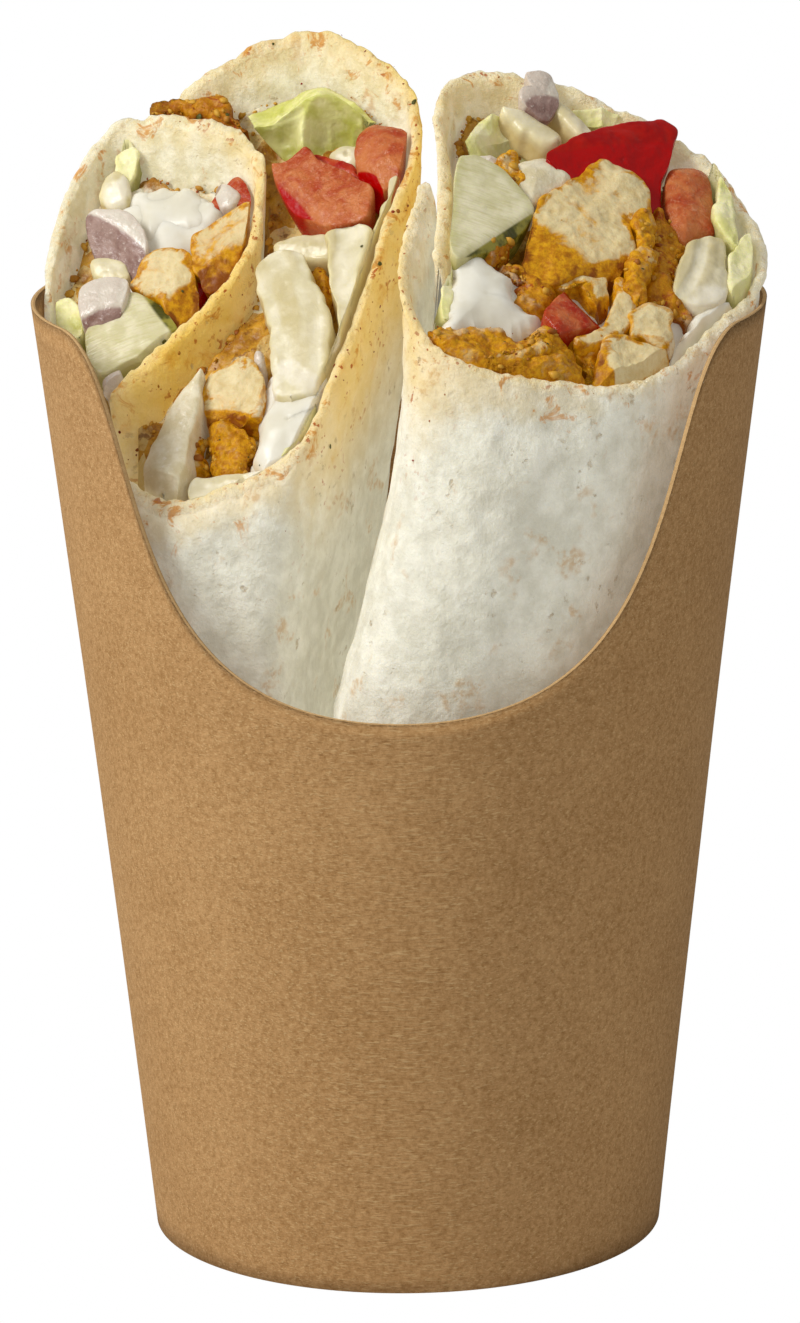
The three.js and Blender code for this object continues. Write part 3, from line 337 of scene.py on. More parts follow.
# What is too thin or small to be a solid: films of sauce, and scraps of onion, tomato, cabbage,
# lettuce and chicken.
SCRAPS = [
    slab("sauce_film_inner", INNER, "sauce", -2.0, [
        (-21, 4), (-19.4, 10), (-14, 13), (-8, 12.4), (-5, 9), (-7.6, 4), (-11.6, 0), (-13.6, -4),
        (-15.4, -8), (-18.6, -4), (-20, 0)], dome=0.4),
    slab("sauce_film_low", OUTER, "sauce", -0.7, [
        (9.4, -10.4), (13.4, -9), (17.4, -11), (20, -15.4), (18.4, -22), (14.6, -29), (11.4, -30), (10, -26),
        (9.6, -20), (8.4, -15)], dome=0.5),
    slab("sauce_film_right", WHOLE, "sauce", -1.8, [
        (-19, 2.4), (-11, 2), (-6.5, -2.4), (-1.4, -4), (3.4, -7), (6.4, -10.6), (3.4, -13), (-1, -13.6),
        (-6, -12), (-12, -13), (-17.6, -12), (-21.6, -10), (-20.6, -4)], dome=0.4),
    slab("sauce_film_front", WHOLE, "sauce", -1.4, [
        (4, -11), (9, -9.6), (14, -9.4), (17.4, -11), (16.4, -14), (11, -19), (6.6, -21.6), (3.4, -21),
        (4.6, -15)], dome=0.4),
    slab("lettuce_white_scrap", OUTER, "cabbage", -1.6, [
        (6, 19), (7.5, 20.4), (10, 20.4), (11.4, 18.6), (9.4, 17), (7, 17.6)], dome=0.6),
    slab("tomato_scrap", OUTER, "tomato", -1.4, [
        (3.5, 18.6), (9.5, 17.9), (11, 16), (12.6, 15), (9, 15.6), (5, 17)], tone=0.7),
    slab("cabbage_scrap", OUTER, "cabbage", -1.0, [
        (2.5, 4.5), (5, 6), (9.5, 6.6), (13, 5.5), (12, 3.2), (8, 2.6), (4.5, 2.6)], tone=0.3),
    slab("chicken_scrap_left", OUTER, "torn", -1.2, [
        (8.5, 3), (12.5, 0.5), (13.8, -3), (12.6, -6), (10.6, -5), (9.6, -1.5)], tone=0.7),
    slab("onion_sliver", INNER, "onion", 0.4, [
        (-12.5, -18), (-10.5, -16), (-9.8, -17), (-10.3, -20.5)], tone=0.9),
    slab("onion_crumb", OUTER, "onion", -0.8, [(6, -11.5), (7, -11.5), (8, -14), (7, -14.5)], tone=0.6),
    slab("lettuce_wall_scrap", INNER, "cabbage", -1.0, [
        (-23.5, 13), (-22, 14.5), (-20, 13.5), (-18.6, 10), (-20.5, 8.6), (-23, 9.6)], dome=0.5),
    slab("cabbage_in_scrap", INNER, "cabbage", -0.6, [
        (-20.5, 0.5), (-15.5, 0.4), (-14, -2), (-17, -3), (-19.4, -2.4)], tone=0.4),
    slab("chicken_scrap_inner", INNER, "torn", -1.0, [
        (-4, -8), (-1, -4.5), (1, -2), (-0.5, -5), (-2, -8.4), (-4, -10)], tone=0.8),
    strip("cabbage_rib_back", WHOLE, "cabbage", -0.4, [
        (-0.6, 24, 1.4), (2.4, 21, 3), (4.4, 17.5, 3.4)], tone=0.25, dome=0.4),
    strip("cabbage_rib_back_right", WHOLE, "cabbage", 0.2, [
        (6, 24.4, 1.6), (7.4, 21.4, 2.6), (9, 17.4, 2.4)], tone=0.2, dome=0.4),
    slab("lettuce_scrap_right", WHOLE, "lettuce", -0.8, [
        (10.5, 22), (13.5, 22.6), (16, 20), (13.6, 18.6), (11, 19)], tone=0.15),
    slab("onion_scrap_right", WHOLE, "onion", -0.8, [
        (-6.8, 17.4), (-4.6, 17.6), (-3.6, 16.6), (-4.5, 15), (-6, 15.6)], tone=0.7),
    slab("onion_front_scrap", WHOLE, "onion", -0.2, [
        (6, -17), (7.2, -18.6), (6.7, -21), (4.5, -21), (5, -18.6)], tone=0.5),
    slab("chicken_fold", WHOLE, "torn", 1.6, [
        (-19.5, -16.5), (-16.5, -15), (-13.5, -14.5), (-10.5, -12), (-9, -13), (-11, -16), (-15.5, -18),
        (-19.5, -17.5)], tone=0.3, floor=-0.6),
    slab("chicken_scrap_middle", WHOLE, "torn", 0.2, [
        (-13.4, 3), (-9.4, 4.4), (-7.6, 3.2), (-8.6, 1), (-11.6, 0.4), (-13.6, 1.4)], tone=0.9),
    slab("cabbage_scrap_right", WHOLE, "cabbage", -0.6, [
        (16, -1), (19.5, -0.4), (20.5, -4), (19.5, -8), (17.6, -6)], tone=0.3),
]

# Each leaf's half, how high it ripples, its tone from pale to green, and three splines as points
# (u, v, n) on the cut: one edge, the crest and the other edge.
LEAVES = [
    ("lettuce_leaf", LEFT, 1.2, 0.9, [
        [(-7, 24, -2), (-3, 28, -2.6), (2, 29, -2.6), (7, 27, -2.6), (11, 24, -2)],
        [(-4, 20, 2), (-1, 22, 3), (2, 24, 3), (5, 26, 2), (9, 25, 0)],
        [(-1, 19, -2.6), (1, 18, -3.4), (4, 19, -3.8), (7, 20, -3.8), (9, 21, -3.4)]]),
    ("lettuce_back_left", RIGHT, 0.9, 0.35, [
        [(-7, 20, -2), (-3, 23.5, -2), (1, 24, -2), (4, 23, -2)],
        [(-7, 18, -3), (-3, 20, -3), (1, 21, -2), (4, 20, -2)],
        [(-6, 16, -3.8), (-3, 17.5, -3.8), (1, 18, -3.8), (4, 17, -3.8)]]),
    ("lettuce_back_right", RIGHT, 0.8, 0.35, [
        [(8, 22.6, 0), (11, 22.2, 0.4), (14, 21, 0), (16.5, 18.8, -1)],
        [(8, 20.6, 0), (10.6, 20, 0), (13, 19, -1), (15, 17.6, -1.6)],
        [(7, 18.8, -3.4), (9.6, 18.4, -3.8), (12, 17.6, -3.8), (14, 16.6, -3.8)]]),
]

# Each kind's slot, edge radius, relief as (size, height on top, height on the sides), grain, and
# how far its outline strays.
KINDS = {
    "torn": ("spiced_chicken", 0.9, ((3.6, 0.6, 0.7), (1.6, 0.45, 0.45), (0.7, 0.22, 0.2)), 0.16, 0.5),
    "pale": ("pale_chicken", 0.35, ((4, 0.35, 0.4), (1.6, 0.18, 0.28), (0.7, 0.08, 0.12)), 0.04, 0.35),
    "tomato": ("tomato", 0.3, ((4.5, 0.25, 0.25), (1.5, 0.1, 0.06), (0.6, 0.05, 0.02)), 0.0, 0.12),
    "cucumber": ("cucumber", 0.2, ((6, 0.12, 0.12), (1.6, 0.04, 0.04), (0.6, 0.015, 0.01)), 0.0, 0.04),
    "onion": ("red_onion", 0.3, ((4, 0.22, 0.22), (1.3, 0.07, 0.05), (0.6, 0.03, 0.015)), 0.05, 0.12),
    "lettuce": ("lettuce", 0.3, ((3.2, 0.5, 0.3), (1.1, 0.16, 0.1), (0.6, 0.05, 0.03)), 0.06, 0.4),
    "cabbage": ("white_cabbage", 0.4, ((5, 0.35, 0.3), (1.7, 0.14, 0.1), (0.7, 0.04, 0.03)), 0.1, 0.2),
    "sauce": ("garlic_sauce", 1.6, ((5, 0.7, 0.6), (2.6, 0.2, 0.2), (1, 0.02, 0.02)), 0.0, 0.6),
}

# ---- Unevenness ----------------------------------------------------------------------


# Large odd numbers that spread a lattice corner's three integers and a seed over 32 bits.
AXIS_MIX = (374761393, 668265263, 2246822519)
SEED_MIX = 3266489
TURNS_OF_MIX = ((13, 1274126177), (15, 2654435761))


def corner_value(corner, seed):
    """A repeatable number from -1 to 1 for each whole lattice corner, mixed from its integers."""
    mixed = np.uint32(seed * SEED_MIX % 2**32)
    for axis, factor in enumerate(AXIS_MIX):
        mixed = mixed + corner[..., axis].astype(np.int64).astype(np.uint32) * np.uint32(factor)
    for shift, factor in TURNS_OF_MIX:
        mixed = (mixed ^ (mixed >> np.uint32(shift))) * np.uint32(factor)
    return (mixed ^ (mixed >> np.uint32(16))) / 2.0**31 - 1.0


def noise(points, size, seed=0):
    """Smooth noise from -1 to 1: lattice values blended by the fifth-power ease along each axis."""
    cell = np.asarray(points, float) / size
    low = np.floor(cell)
    part = cell - low
    ease = part**3 * (part * (part * 6 - 15) + 10)
    total = 0
    for corner in np.ndindex(2, 2, 2):
        share = np.abs(1 - np.array(corner) - ease)
        weight = share[..., 0] * share[..., 1] * share[..., 2]
        total = total + weight * corner_value(low + corner, seed)
    return total


def rugged(points, size, seed=0, octaves=3):
    """Noise at several sizes, each half as large and half as high as the one before."""
    return sum(noise(points, size / 2**k, seed + 17 * k) / 2**k for k in range(octaves))


def ease_step(value, low, high):
    """0 below low, 1 above high, and the cubic ease between them."""
    share = np.clip((value - low) / (high - low), 0, 1)
    return share * share * (3 - 2 * share)


# ---- The two halves ------------------------------------------------------------------


def prepare(half):
    """Adds the cut plane's own frame: u level across it, v climbing it, n out of it."""
    a, b = half["slope"]
    level = math.hypot(a, b)
    steep = math.sqrt(1 + a * a + b * b)
    x, y = half["centre"]
    half["steep"] = steep
    half["origin"] = np.array([x, y, half["level"] + a * x + b * y])
    half["u"] = np.array([b, -a, 0.0]) / level
    half["v"] = np.array([a, b, level * level]) / (level * steep)
    half["n"] = np.array([-a, -b, 1.0]) / steep


prepare(LEFT)
prepare(RIGHT)


def on_cut(half, u, v, n):
    """Points at (u, v) on the cut plane and n above it."""
    u, v, n = np.broadcast_arrays(u, v, n)
    return half["origin"] + u[..., None] * half["u"] + v[..., None] * half["v"] + n[..., None] * half["n"]


def cup_radius(z):
    """Outer radius: a straight cone from foot to rim, less a shallow parabola half way."""
    share = np.asarray(z) / CUP_HEIGHT
    cone = CUP_BASE_RADIUS + (CUP_RIM_RADIUS - CUP_BASE_RADIUS) * share
    return cone - 4 * CUP_FLARE * share * (1 - share)


def inside_cup(points):
    """Pulls points in to the cup's inner wall, with a limit that widens above its rim."""
    swell = SWELL * np.maximum(0, points[..., 2] - CUP_HEIGHT - SWELL_FROM)
    limit = cup_radius(np.minimum(points[..., 2], CUP_HEIGHT)) - BOARD - FOOD_GAP + swell
    radius = np.hypot(points[..., 0], points[..., 1])
    pull = np.minimum(1, limit / np.maximum(radius, 1e-6))
    return points * np.stack([pull, pull, np.ones_like(pull)], -1)


def squeezed(half, level, x, y):
    """(x, y) about the half's middle, scaled by the level's squeeze and moved to its own middle."""
    (mx, my), (across, front, back) = half[level]
    dx, dy = x - half["centre"][0], y - half["centre"][1]
    return mx + across * dx, my + np.where(dy < 0, front, back) * dy


def pressed_in(half, x, depth):
    """How far a fibre that starts at x on the cut leans to the right at this depth."""
    amount, full, none = half["hollow"]
    near = np.clip((none - x) / (none - full), 0, 1)
    upper = np.clip(depth / 0.5, 0, 1)
    return amount * near * near * (3 - 2 * near) * np.sin(np.pi * upper**HOLLOW_SKEW)


def fibre(half, x, y, depth, lift=0.0):
    """(x, y) on the cut followed down: a parabola in depth through cut, middle level and foot."""
    x, y, depth, lift = np.broadcast_arrays(x, y, depth, lift)
    at_cut = (1 - depth) * (1 - 2 * depth)
    at_mid = 4 * depth * (1 - depth)
    at_foot = depth * (2 * depth - 1)
    mid, foot = squeezed(half, "mid", x, y), squeezed(half, "foot", x, y)
    cut = half["level"] + half["slope"][0] * x + half["slope"][1] * y + lift
    return inside_cup(np.stack([
        x * at_cut + mid[0] * at_mid + foot[0] * at_foot + pressed_in(half, x, depth),
        y * at_cut + mid[1] * at_mid + foot[1] * at_foot,
        cut * at_cut + MID_LEVEL * at_mid + FOOT_LEVEL * at_foot], -1))


# Depths are shares of a fibre, from 0 at the cut to 1 at its foot: how far down a level is looked
# for, and how often that stretch is halved.
DEEPEST_SOUGHT = 0.6
HALVINGS = 18


def depth_of(half, x, y, n):
    """The depth at which each fibre passes level n of the cut's frame, by halving."""
    low, high = np.zeros_like(x), np.full_like(x, DEEPEST_SOUGHT)
    for _ in range(HALVINGS):
        middle = (low + high) / 2
        level = (fibre(half, x, y, middle) - half["origin"]) @ half["n"]
        above = level > n
        low, high = np.where(above, middle, low), np.where(above, high, middle)
    return low


def smooth_path(knots, at):
    """Points and unit directions of a centripetal spline through knots, at knot counts `at`."""
    knots = np.asarray(knots, float)
    before, after = 2 * knots[0] - knots[1], 2 * knots[-1] - knots[-2]
    padded = np.concatenate([[before], knots, [after]])
    count = len(knots) - 1
    seg = np.clip(np.floor(at).astype(int), 0, count - 1)
    t = (at - seg)[:, None]
    p0, p1, p2, p3 = (padded[seg + k] for k in range(4))
    d0, d1, d2 = (np.maximum(np.linalg.norm(b - a, axis=1, keepdims=True) ** 0.5, 1e-4)
                  for a, b in ((p0, p1), (p1, p2), (p2, p3)))
    m1 = ((p1 - p0) / d0 - (p2 - p0) / (d0 + d1) + (p2 - p1) / d1) * d1
    m2 = ((p2 - p1) / d1 - (p3 - p1) / (d1 + d2) + (p3 - p2) / d2) * d1
    c2 = -3 * p1 + 3 * p2 - 2 * m1 - m2
    c3 = 2 * p1 - 2 * p2 + m1 + m2
    place = p1 + m1 * t + c2 * t**2 + c3 * t**3
    along = m1 + 2 * c2 * t + 3 * c3 * t**2
    return place, along / np.linalg.norm(along, axis=1, keepdims=True)


def rail(knots, shift, at):
    """The path's points moved sideways, to its right for a positive shift."""
    place, along = smooth_path(knots, at)
    return place + shift * np.stack([along[:, 1], -along[:, 0]], -1)


# ---- Meshes --------------------------------------------------------------------------


def grid_normals(grid):
    """Unit normals of a grid closed along its second axis: the cross product of its differences."""
    round_ = np.roll(grid, -1, 1) - np.roll(grid, 1, 1)
    along = np.gradient(grid, axis=0)
    cross = np.cross(round_, along)
    return cross / np.maximum(np.linalg.norm(cross, axis=-1, keepdims=True), 1e-9)


def skin_of(grid, capped):
    """Triangles over a grid closed along its second axis, with a fan to a middle point at each end."""
    rows, columns = grid.shape[:2]
    index = np.arange(rows * columns).reshape(rows, columns)
    a, b = index[:-1], np.roll(index, -1, 1)[:-1]
    c, d = np.roll(index, -1, 1)[1:], index[1:]
    faces = [np.stack([a, b, c], -1).reshape(-1, 3), np.stack([a, c, d], -1).reshape(-1, 3)]
    points = [grid.reshape(-1, 3)]
    if capped:
        points += [grid[k].mean(0, keepdims=True) for k in (0, -1)]
        for pole, ring in enumerate((index[0], index[-1][::-1])):
            middle = np.full(columns, rows * columns + pole)
            faces.append(np.stack([np.roll(ring, -1), ring, middle], -1))
    return np.concatenate(points), np.concatenate(faces)


def tidy(points, faces, fields):
    """Merges equal points, drops faces without area and turns the skin to face outwards."""
    _, first, back = np.unique(np.round(points, 4), axis=0, return_index=True, return_inverse=True)
    back = back.reshape(-1)
    faces = back[faces]
    whole = (faces[:, 0] != faces[:, 1]) & (faces[:, 1] != faces[:, 2]) & (faces[:, 2] != faces[:, 0])
    faces, points = faces[whole], points[first]
    p, q, r = (points[faces[:, k]] for k in range(3))
    if np.einsum("ij,ij->", p, np.cross(q, r)) < 0:
        faces = faces[:, ::-1]
    return points, faces, {key: value[first] for key, value in fields.items()}


def put_in_scene(name, points, faces, fields, slot, nodes, finish=None):
    """One smooth mesh object in the part's frame, with its point values, slot and CAD nodes."""
    mesh = bpy.data.meshes.new(name)
    mesh.vertices.add(len(points))
    place = (points + np.array([0, AXIS_Y, 0])) / 1000
    mesh.vertices.foreach_set("co", place.astype(np.float32).ravel())
    mesh.loops.add(faces.size)
    mesh.loops.foreach_set("vertex_index", faces.astype(np.int32).ravel())
    mesh.polygons.add(len(faces))
    mesh.polygons.foreach_set("loop_start", np.arange(0, faces.size, 3, dtype=np.int32))
    mesh.polygons.foreach_set("use_smooth", np.ones(len(faces), bool))
    mesh.update(calc_edges=True)
    mesh.validate()
    for key, value in fields.items():
        layer = mesh.attributes.new(key, "FLOAT", "POINT")
        layer.data.foreach_set("value", value.astype(np.float32).ravel())
    mesh.materials.append(material(finish or slot))
    shape = bpy.data.objects.new(name, mesh)
    bpy.context.scene.collection.objects.link(shape)
    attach(shape, "root")
    if nodes:
        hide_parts(*nodes)
    return shape


def closed_piece(name, grid, fields, slot, nodes=(), capped=True):
    """A body from a grid of rings: its skin, tidied, with the given point values."""
    values = {}
    for key, value in fields.items():
        value = np.broadcast_to(value, grid.shape[:2])
        ends = [value[0].mean(), value[-1].mean()] if capped else []
        values[key] = np.concatenate([value.reshape(-1), ends])
    return put_in_scene(name, *tidy(*skin_of(grid, capped), values), slot, nodes)


# ---- Finishes ------------------------------------------------------------------------


def rgb(code):
    """Linear colour of an sRGB hex code."""
    parts = [int(code[k:k + 2], 16) / 255 for k in (0, 2, 4)]
    return tuple(c / 12.92 if c <= 0.04045 else ((c + 0.055) / 1.055) ** 2.4 for c in parts) + (1.0,)


class Wire:
    """A socket that can be added, subtracted and multiplied like a number."""

    def __init__(self, finish, socket):
        self.finish = finish
        self.socket = socket

    def maths(self, operation, first, second):
        """A Math node on two values."""
        return self.finish.node("ShaderNodeMath", {"operation": operation}, {0: first, 1: second})

    def __add__(self, other):
        return self.maths("ADD", self, other)

    def __radd__(self, other):
        return self.maths("ADD", other, self)

    def __sub__(self, other):
        return self.maths("SUBTRACT", self, other)

    def __rsub__(self, other):
        return self.maths("SUBTRACT", other, self)

    def __mul__(self, other):
        return self.maths("MULTIPLY", self, other)

    def __rmul__(self, other):
        return self.maths("MULTIPLY", other, self)


class Finish:
    """One material: a Principled shader and the nodes that feed it."""

    def __init__(self, name):
        self.material = bpy.data.materials.new(name)
        self.material.use_nodes = True
        self.tree = self.material.node_tree
        self.tree.nodes.clear()
        self.shader = self.tree.nodes.new("ShaderNodeBsdfPrincipled")
        output = self.tree.nodes.new("ShaderNodeOutputMaterial")
        self.tree.links.new(self.shader.outputs[0], output.inputs[0])
        coordinates = self.tree.nodes.new("ShaderNodeTexCoord")
        place = Wire(self, coordinates.outputs["Object"])
        self.place = self.node("ShaderNodeVectorMath", {"operation": "SCALE"}, {0: place, "Scale": 1000.0})

    def node(self, kind, settings=None, values=None, output=0):
        """Adds a node, sets it up, fills or links its sockets and returns one of its outputs."""
        made = self.tree.nodes.new(kind)
        for key, value in (settings or {}).items():
            setattr(made, key, value)
        for key, value in (values or {}).items():
            if isinstance(value, Wire):
                self.tree.links.new(value.socket, made.inputs[key])
            else:
                made.inputs[key].default_value = value
        return Wire(self, made.outputs[output])

    def noise(self, size, detail=3.0, roughness=0.55, distortion=0.0, stretch=None):
        """Noise from 0 to 1 with blobs of the given size in millimetres."""
        place = self.place
        if stretch:
            place = self.node("ShaderNodeMapping", {}, {
                "Vector": place, "Rotation": stretch[0], "Scale": stretch[1]})
        return self.node("ShaderNodeTexNoise", {}, {
            "Vector": place, "Scale": 1 / size, "Detail": detail, "Roughness": roughness,
            "Distortion": distortion})

    def cells(self, size):
        """A random number from 0 to 1 for each cell of the given size in millimetres."""
        colour = self.node("ShaderNodeTexVoronoi", {}, {"Vector": self.place, "Scale": 1 / size}, "Color")
        return self.node("ShaderNodeSeparateColor", {}, {0: colour})

    def value(self, name):
        """A point value of the piece's own mesh."""
        return self.node("ShaderNodeAttribute", {"attribute_name": name}, {}, "Fac")

    def values(self, *names):
        """Several of its point values."""
        return [self.value(name) for name in names]

    def step(self, value, low, high):
        """0 to 1 with an ease as the value goes from low to high."""
        return self.node("ShaderNodeMapRange", {"interpolation_type": "SMOOTHSTEP"}, {
            "Value": value, "From Min": low, "From Max": high, "To Min": 0.0, "To Max": 1.0})

    def mix(self, share, first, second):
        """A blend of two colours, each a socket or an sRGB hex code."""
        first, second = (rgb(c) if isinstance(c, str) else c for c in (first, second))
        return self.node("ShaderNodeMix", {"data_type": "RGBA"}, {0: share, 6: first, 7: second}, 2)

    def cloudy(self, value, dark, light):
        """A blend of two colours about the middle of a noise."""
        return self.mix(self.step(value, 0.35, 0.65), dark, light)

    def bump(self, height):
        """Feeds a height in millimetres to the shader's normal."""
        made = self.node("ShaderNodeBump", {}, {"Strength": 1.0, "Distance": 0.001, "Height": height})
        self.tree.links.new(made.socket, self.shader.inputs["Normal"])

    def shade(self, **values):
        """Sets or links the shader's own sockets; an underscore in a name is a space."""
        for key, value in values.items():
            name = key.replace("_", " ")
            if isinstance(value, Wire):
                self.tree.links.new(value.socket, self.shader.inputs[name])
            else:
                self.shader.inputs[name].default_value = value
        return self.material

    def flesh(self, weight, depth, red=(1.0, 0.5, 0.25)):
        """Soft light inside wet food, to a depth in millimetres."""
        self.shade(Subsurface_Weight=weight, Subsurface_Scale=depth / 1000, Subsurface_Radius=red)

    def painted_glow(self, colour, strength):
        """Painted light: emission in the food's own colour that lifts its shaded parts, in place of light
        through thin food.
        """
        self.shade(Emission_Color=colour, Emission_Strength=strength)


def kraft():
    """Brown board: fine mottle, short pale and dark fibres, and a lighter cut edge."""
    f = Finish("kraft_board")
    cloud = f.noise(16, 4, 0.6)
    grain = f.noise(0.7, 4, 0.75)
    flecks = [f.noise(1.0, 2, 0.5, 0.4, stretch=(turn, (0.6, 4.6, 4.6)))
              for turn in ((0.3, 0.2, 0.6), (0.9, 1.2, -0.5), (0.2, 0.9, 1.6))]
    base = f.mix(f.step(cloud * 0.18 + grain * 0.82, 0.28, 0.72), "9c7344", "c59b69")
    base = f.mix(f.step(flecks[0], 0.56, 0.7) * 0.45, base, "dab985")
    base = f.mix(f.step(flecks[1], 0.58, 0.72) * 0.45, base, "80572c")
    base = f.mix(f.step(flecks[2], 0.6, 0.72) * 0.35, base, "d9b988")
    base = f.mix(f.value("edge") * 0.45, base, "d2b280")
    f.bump(flecks[0] * 0.08 + grain * 0.08)
    return f.shade(Base_Color=base, Roughness=0.9, Specular_IOR_Level=0.1)


def bread():
    """Soft flatbread: white, freckled and toasted outside, oiled yellow close to the cut."""
    f = Finish("flatbread")
    food, below, warm, edge = f.values("food", "below", "warm", "edge")
    cloud = f.noise(9, 4, 0.6)
    mottle = f.noise(2.6, 4, 0.6)
    fine = f.noise(0.8, 3, 0.65)
    outer = f.mix(f.step(cloud * 0.4 + mottle * 0.6, 0.36, 0.64), "c5c1af", "d9d6c6")
    inner = f.cloudy(mottle, "c8bf9d", "dad3b8")
    base = f.mix(food, outer, inner)
    oily = 1 - f.step(below + (cloud - 0.5) * 9 + (mottle - 0.5) * 6, 0, 3 + warm * warm * 42)
    base = f.mix(oily * (0.04 + warm * 0.86), base, "d8b03c")
    deep = f.step(warm * 0.8 + (f.noise(3.6, 4, 0.65) - 0.5) * 2.2, 0.7, 1.4)
    base = f.mix(deep * (1 - f.step(below, 7, 17)) * 0.8, base, "c48a0a")
    toast = f.step(f.noise(6, 3, 0.6, 0.3), 0.58, 0.68) * f.step(mottle * 0.5 + fine * 0.5, 0.42, 0.6)
    base = f.mix(toast * 0.6, base, "b48d54")
    freckle = f.step(f.noise(1.7, 3, 0.6), 0.62, 0.72) * f.step(cloud, 0.45, 0.6)
    base = f.mix(freckle * 0.6, base, "a58d64")
    base = f.mix(f.step(fine, 0.45, 0.7) * edge * 0.35, base, "d8b870")
    clusters = f.step(f.noise(5, 2, 0.5), 0.42, 0.6) * f.step(warm + edge * 0.4, 0.3, 0.7)
    specks = f.step(f.noise(0.9, 2, 0.5), 0.62, 0.68) * clusters * (1 - f.step(below, 5, 26))
    base = f.mix(specks * 0.9, base, "9c4a0c")
    rust = f.step(f.noise(3.4, 4, 0.7, 0.7), 0.57, 0.66) * (1 - f.step(below + (mottle - 0.5) * 8, 1, 7))
    base = f.mix(rust * 0.75, base, "b8771a")
    f.bump(mottle * 0.35 + fine * 0.3 - freckle * 0.3 + fine * edge * 0.3)
    f.flesh(0.5, 2.0, (1.0, 0.85, 0.6))
    # Painted glow: emission in the bread's own colour lifts its shaded flanks and creases.
    f.painted_glow(base, 0.32)
    return f.shade(Base_Color=base, Roughness=0.75, Specular_IOR_Level=0.15)


def chicken(name, pale):
    """Cooked chicken: ivory where cut, turmeric yellow outside, paprika red in the deep places."""
    f = Finish(name)
    side, tone, relief = f.values("side", "tone", "relief")
    rim, skin, grain, cream = f.values("rim", "skin", "grain", "cream")
    mottle = f.noise(3.0, 4, 0.65, 0.5)
    fine = f.noise(0.9, 4, 0.7)
    edge = f.step(rim + (mottle - 0.5) * 1.6, 0.5, 1.0)
    spice = tone * 0.8 + skin * 0.8 + side * 0.5 + edge * 0.5 + (mottle - 0.5) * 1.8 + (fine - 0.5) * 0.6
    spice = spice - relief * 0.25
    flesh = f.mix(f.step(fine * 0.4 + mottle * 0.6, 0.3, 0.65), "ccb27a", "e0d1a4")
    yellow = f.cloudy(fine, "ac6c04", "d2980e")
    base = f.mix(f.step(spice, 0.1 if pale else -0.2, 0.7 if pale else 0.4), flesh, yellow)
    base = f.mix(f.step(spice + (f.noise(1.6, 3, 0.6) - 0.5) * 1.6, 0.95, 1.7), base, "824400")
    base = f.mix(f.step(tone, 0.5, 1.0) * 0.45, base, "944c00")
    red = f.step(f.noise(2.6, 4, 0.7, 0.8), 0.56, 0.66) * f.step(tone + skin * 0.3, 0.45, 0.8)
    base = f.mix(red * 0.85, base, "8e3000")
    cream = f.step(cream + (mottle - 0.5) * 2.4, 0.7, 1.1) * (0.8 if pale else 0.35)
    base = f.mix(cream, base, "dfd7b8")
    f.bump(mottle * 0.25 + fine * (0.16 if pale else 0.3) + grain * 0.1)
    f.flesh(0.15, 1.0, (1.0, 0.6, 0.3))
    # Painted glow: emission in the meat's own colour lifts its shaded parts.
    f.painted_glow(base, 0.1)
    return f.shade(Base_Color=base, Roughness=0.45, Specular_IOR_Level=0.18, Coat_Weight=0.05,
                   Coat_Roughness=0.2)


def tomato():
    """Wet tomato: grainy orange-red flesh, glassy and streaked, and deep red peel."""
    f = Finish("tomato_flesh")
    skin, tone, side = f.values("skin", "tone", "side")
    cloud = f.noise(4, 3, 0.6, 0.5)
    grain = f.noise(0.5, 3, 0.6)
    streak = f.noise(1.3, 4, 0.7, 1.5)
    pale = f.cloudy(cloud, "c0703c", "a43c16")
    full = f.cloudy(cloud, "ac0e00", "960000")
    base = f.mix(f.step(tone + (cloud - 0.5) * 0.9, 0.15, 0.85), pale, full)
    base = f.mix(f.step(streak, 0.5, 0.7) * 0.45 * (1 - tone), base, "cf8f66")
    base = f.mix(f.step(grain, 0.56, 0.7) * 0.4 * (1 - tone), base, "cf9a78")
    base = f.mix(f.step(skin + (streak - 0.5) * 0.5, 0.3, 0.8), base, "a80000")
    base = f.mix(side * 0.6, base, "940200")
    f.bump(grain * (1 - tone) * 0.22 + cloud * 0.12 + streak * (1 - tone) * 0.15)
    f.flesh(0.12, 1.2, (1.0, 0.3, 0.15))
    # Painted glow: emission in the tomato's own colour lifts its shaded parts.
    f.painted_glow(base, 0.08)
    return f.shade(Base_Color=base, Roughness=0.22, Specular_IOR_Level=0.2, Coat_Weight=0.06,
                   Coat_Roughness=0.06)


def cucumber():
    """Pale watery flesh with faint knife lines, darker green towards a thin rind."""
    f = Finish("cucumber_flesh")
    skin, rim, side = f.values("skin", "rim", "side")
    cloud = f.noise(3.2, 3, 0.6)
    lines = f.noise(1.0, 2, 0.5, stretch=((0.0, 0.0, 0.6), (0.25, 3.4, 0.6)))
    base = f.cloudy(cloud, "c9c195", "ddd5b2")
    base = f.mix(f.step(lines, 0.5, 0.7) * 0.35, base, "b5ac6c")
    base = f.mix(f.step(rim, 0.3, 1.0) * 0.35 + side * 0.4, base, "9a9238")
    rind = f.mix(f.step(cloud, 0.42, 0.6), "454408", "938a34")
    base = f.mix(f.step(skin, 0.25, 0.75), base, rind)
    f.bump(lines * 0.14 + cloud * 0.06)
    f.flesh(0.3, 2.0, (0.8, 1.0, 0.5))
    # Painted glow: emission in the cucumber's own colour lifts its shaded parts.
    f.painted_glow(base, 0.1)
    return f.shade(Base_Color=base, Roughness=0.28, Specular_IOR_Level=0.35, Coat_Weight=0.12,
                   Coat_Roughness=0.12)


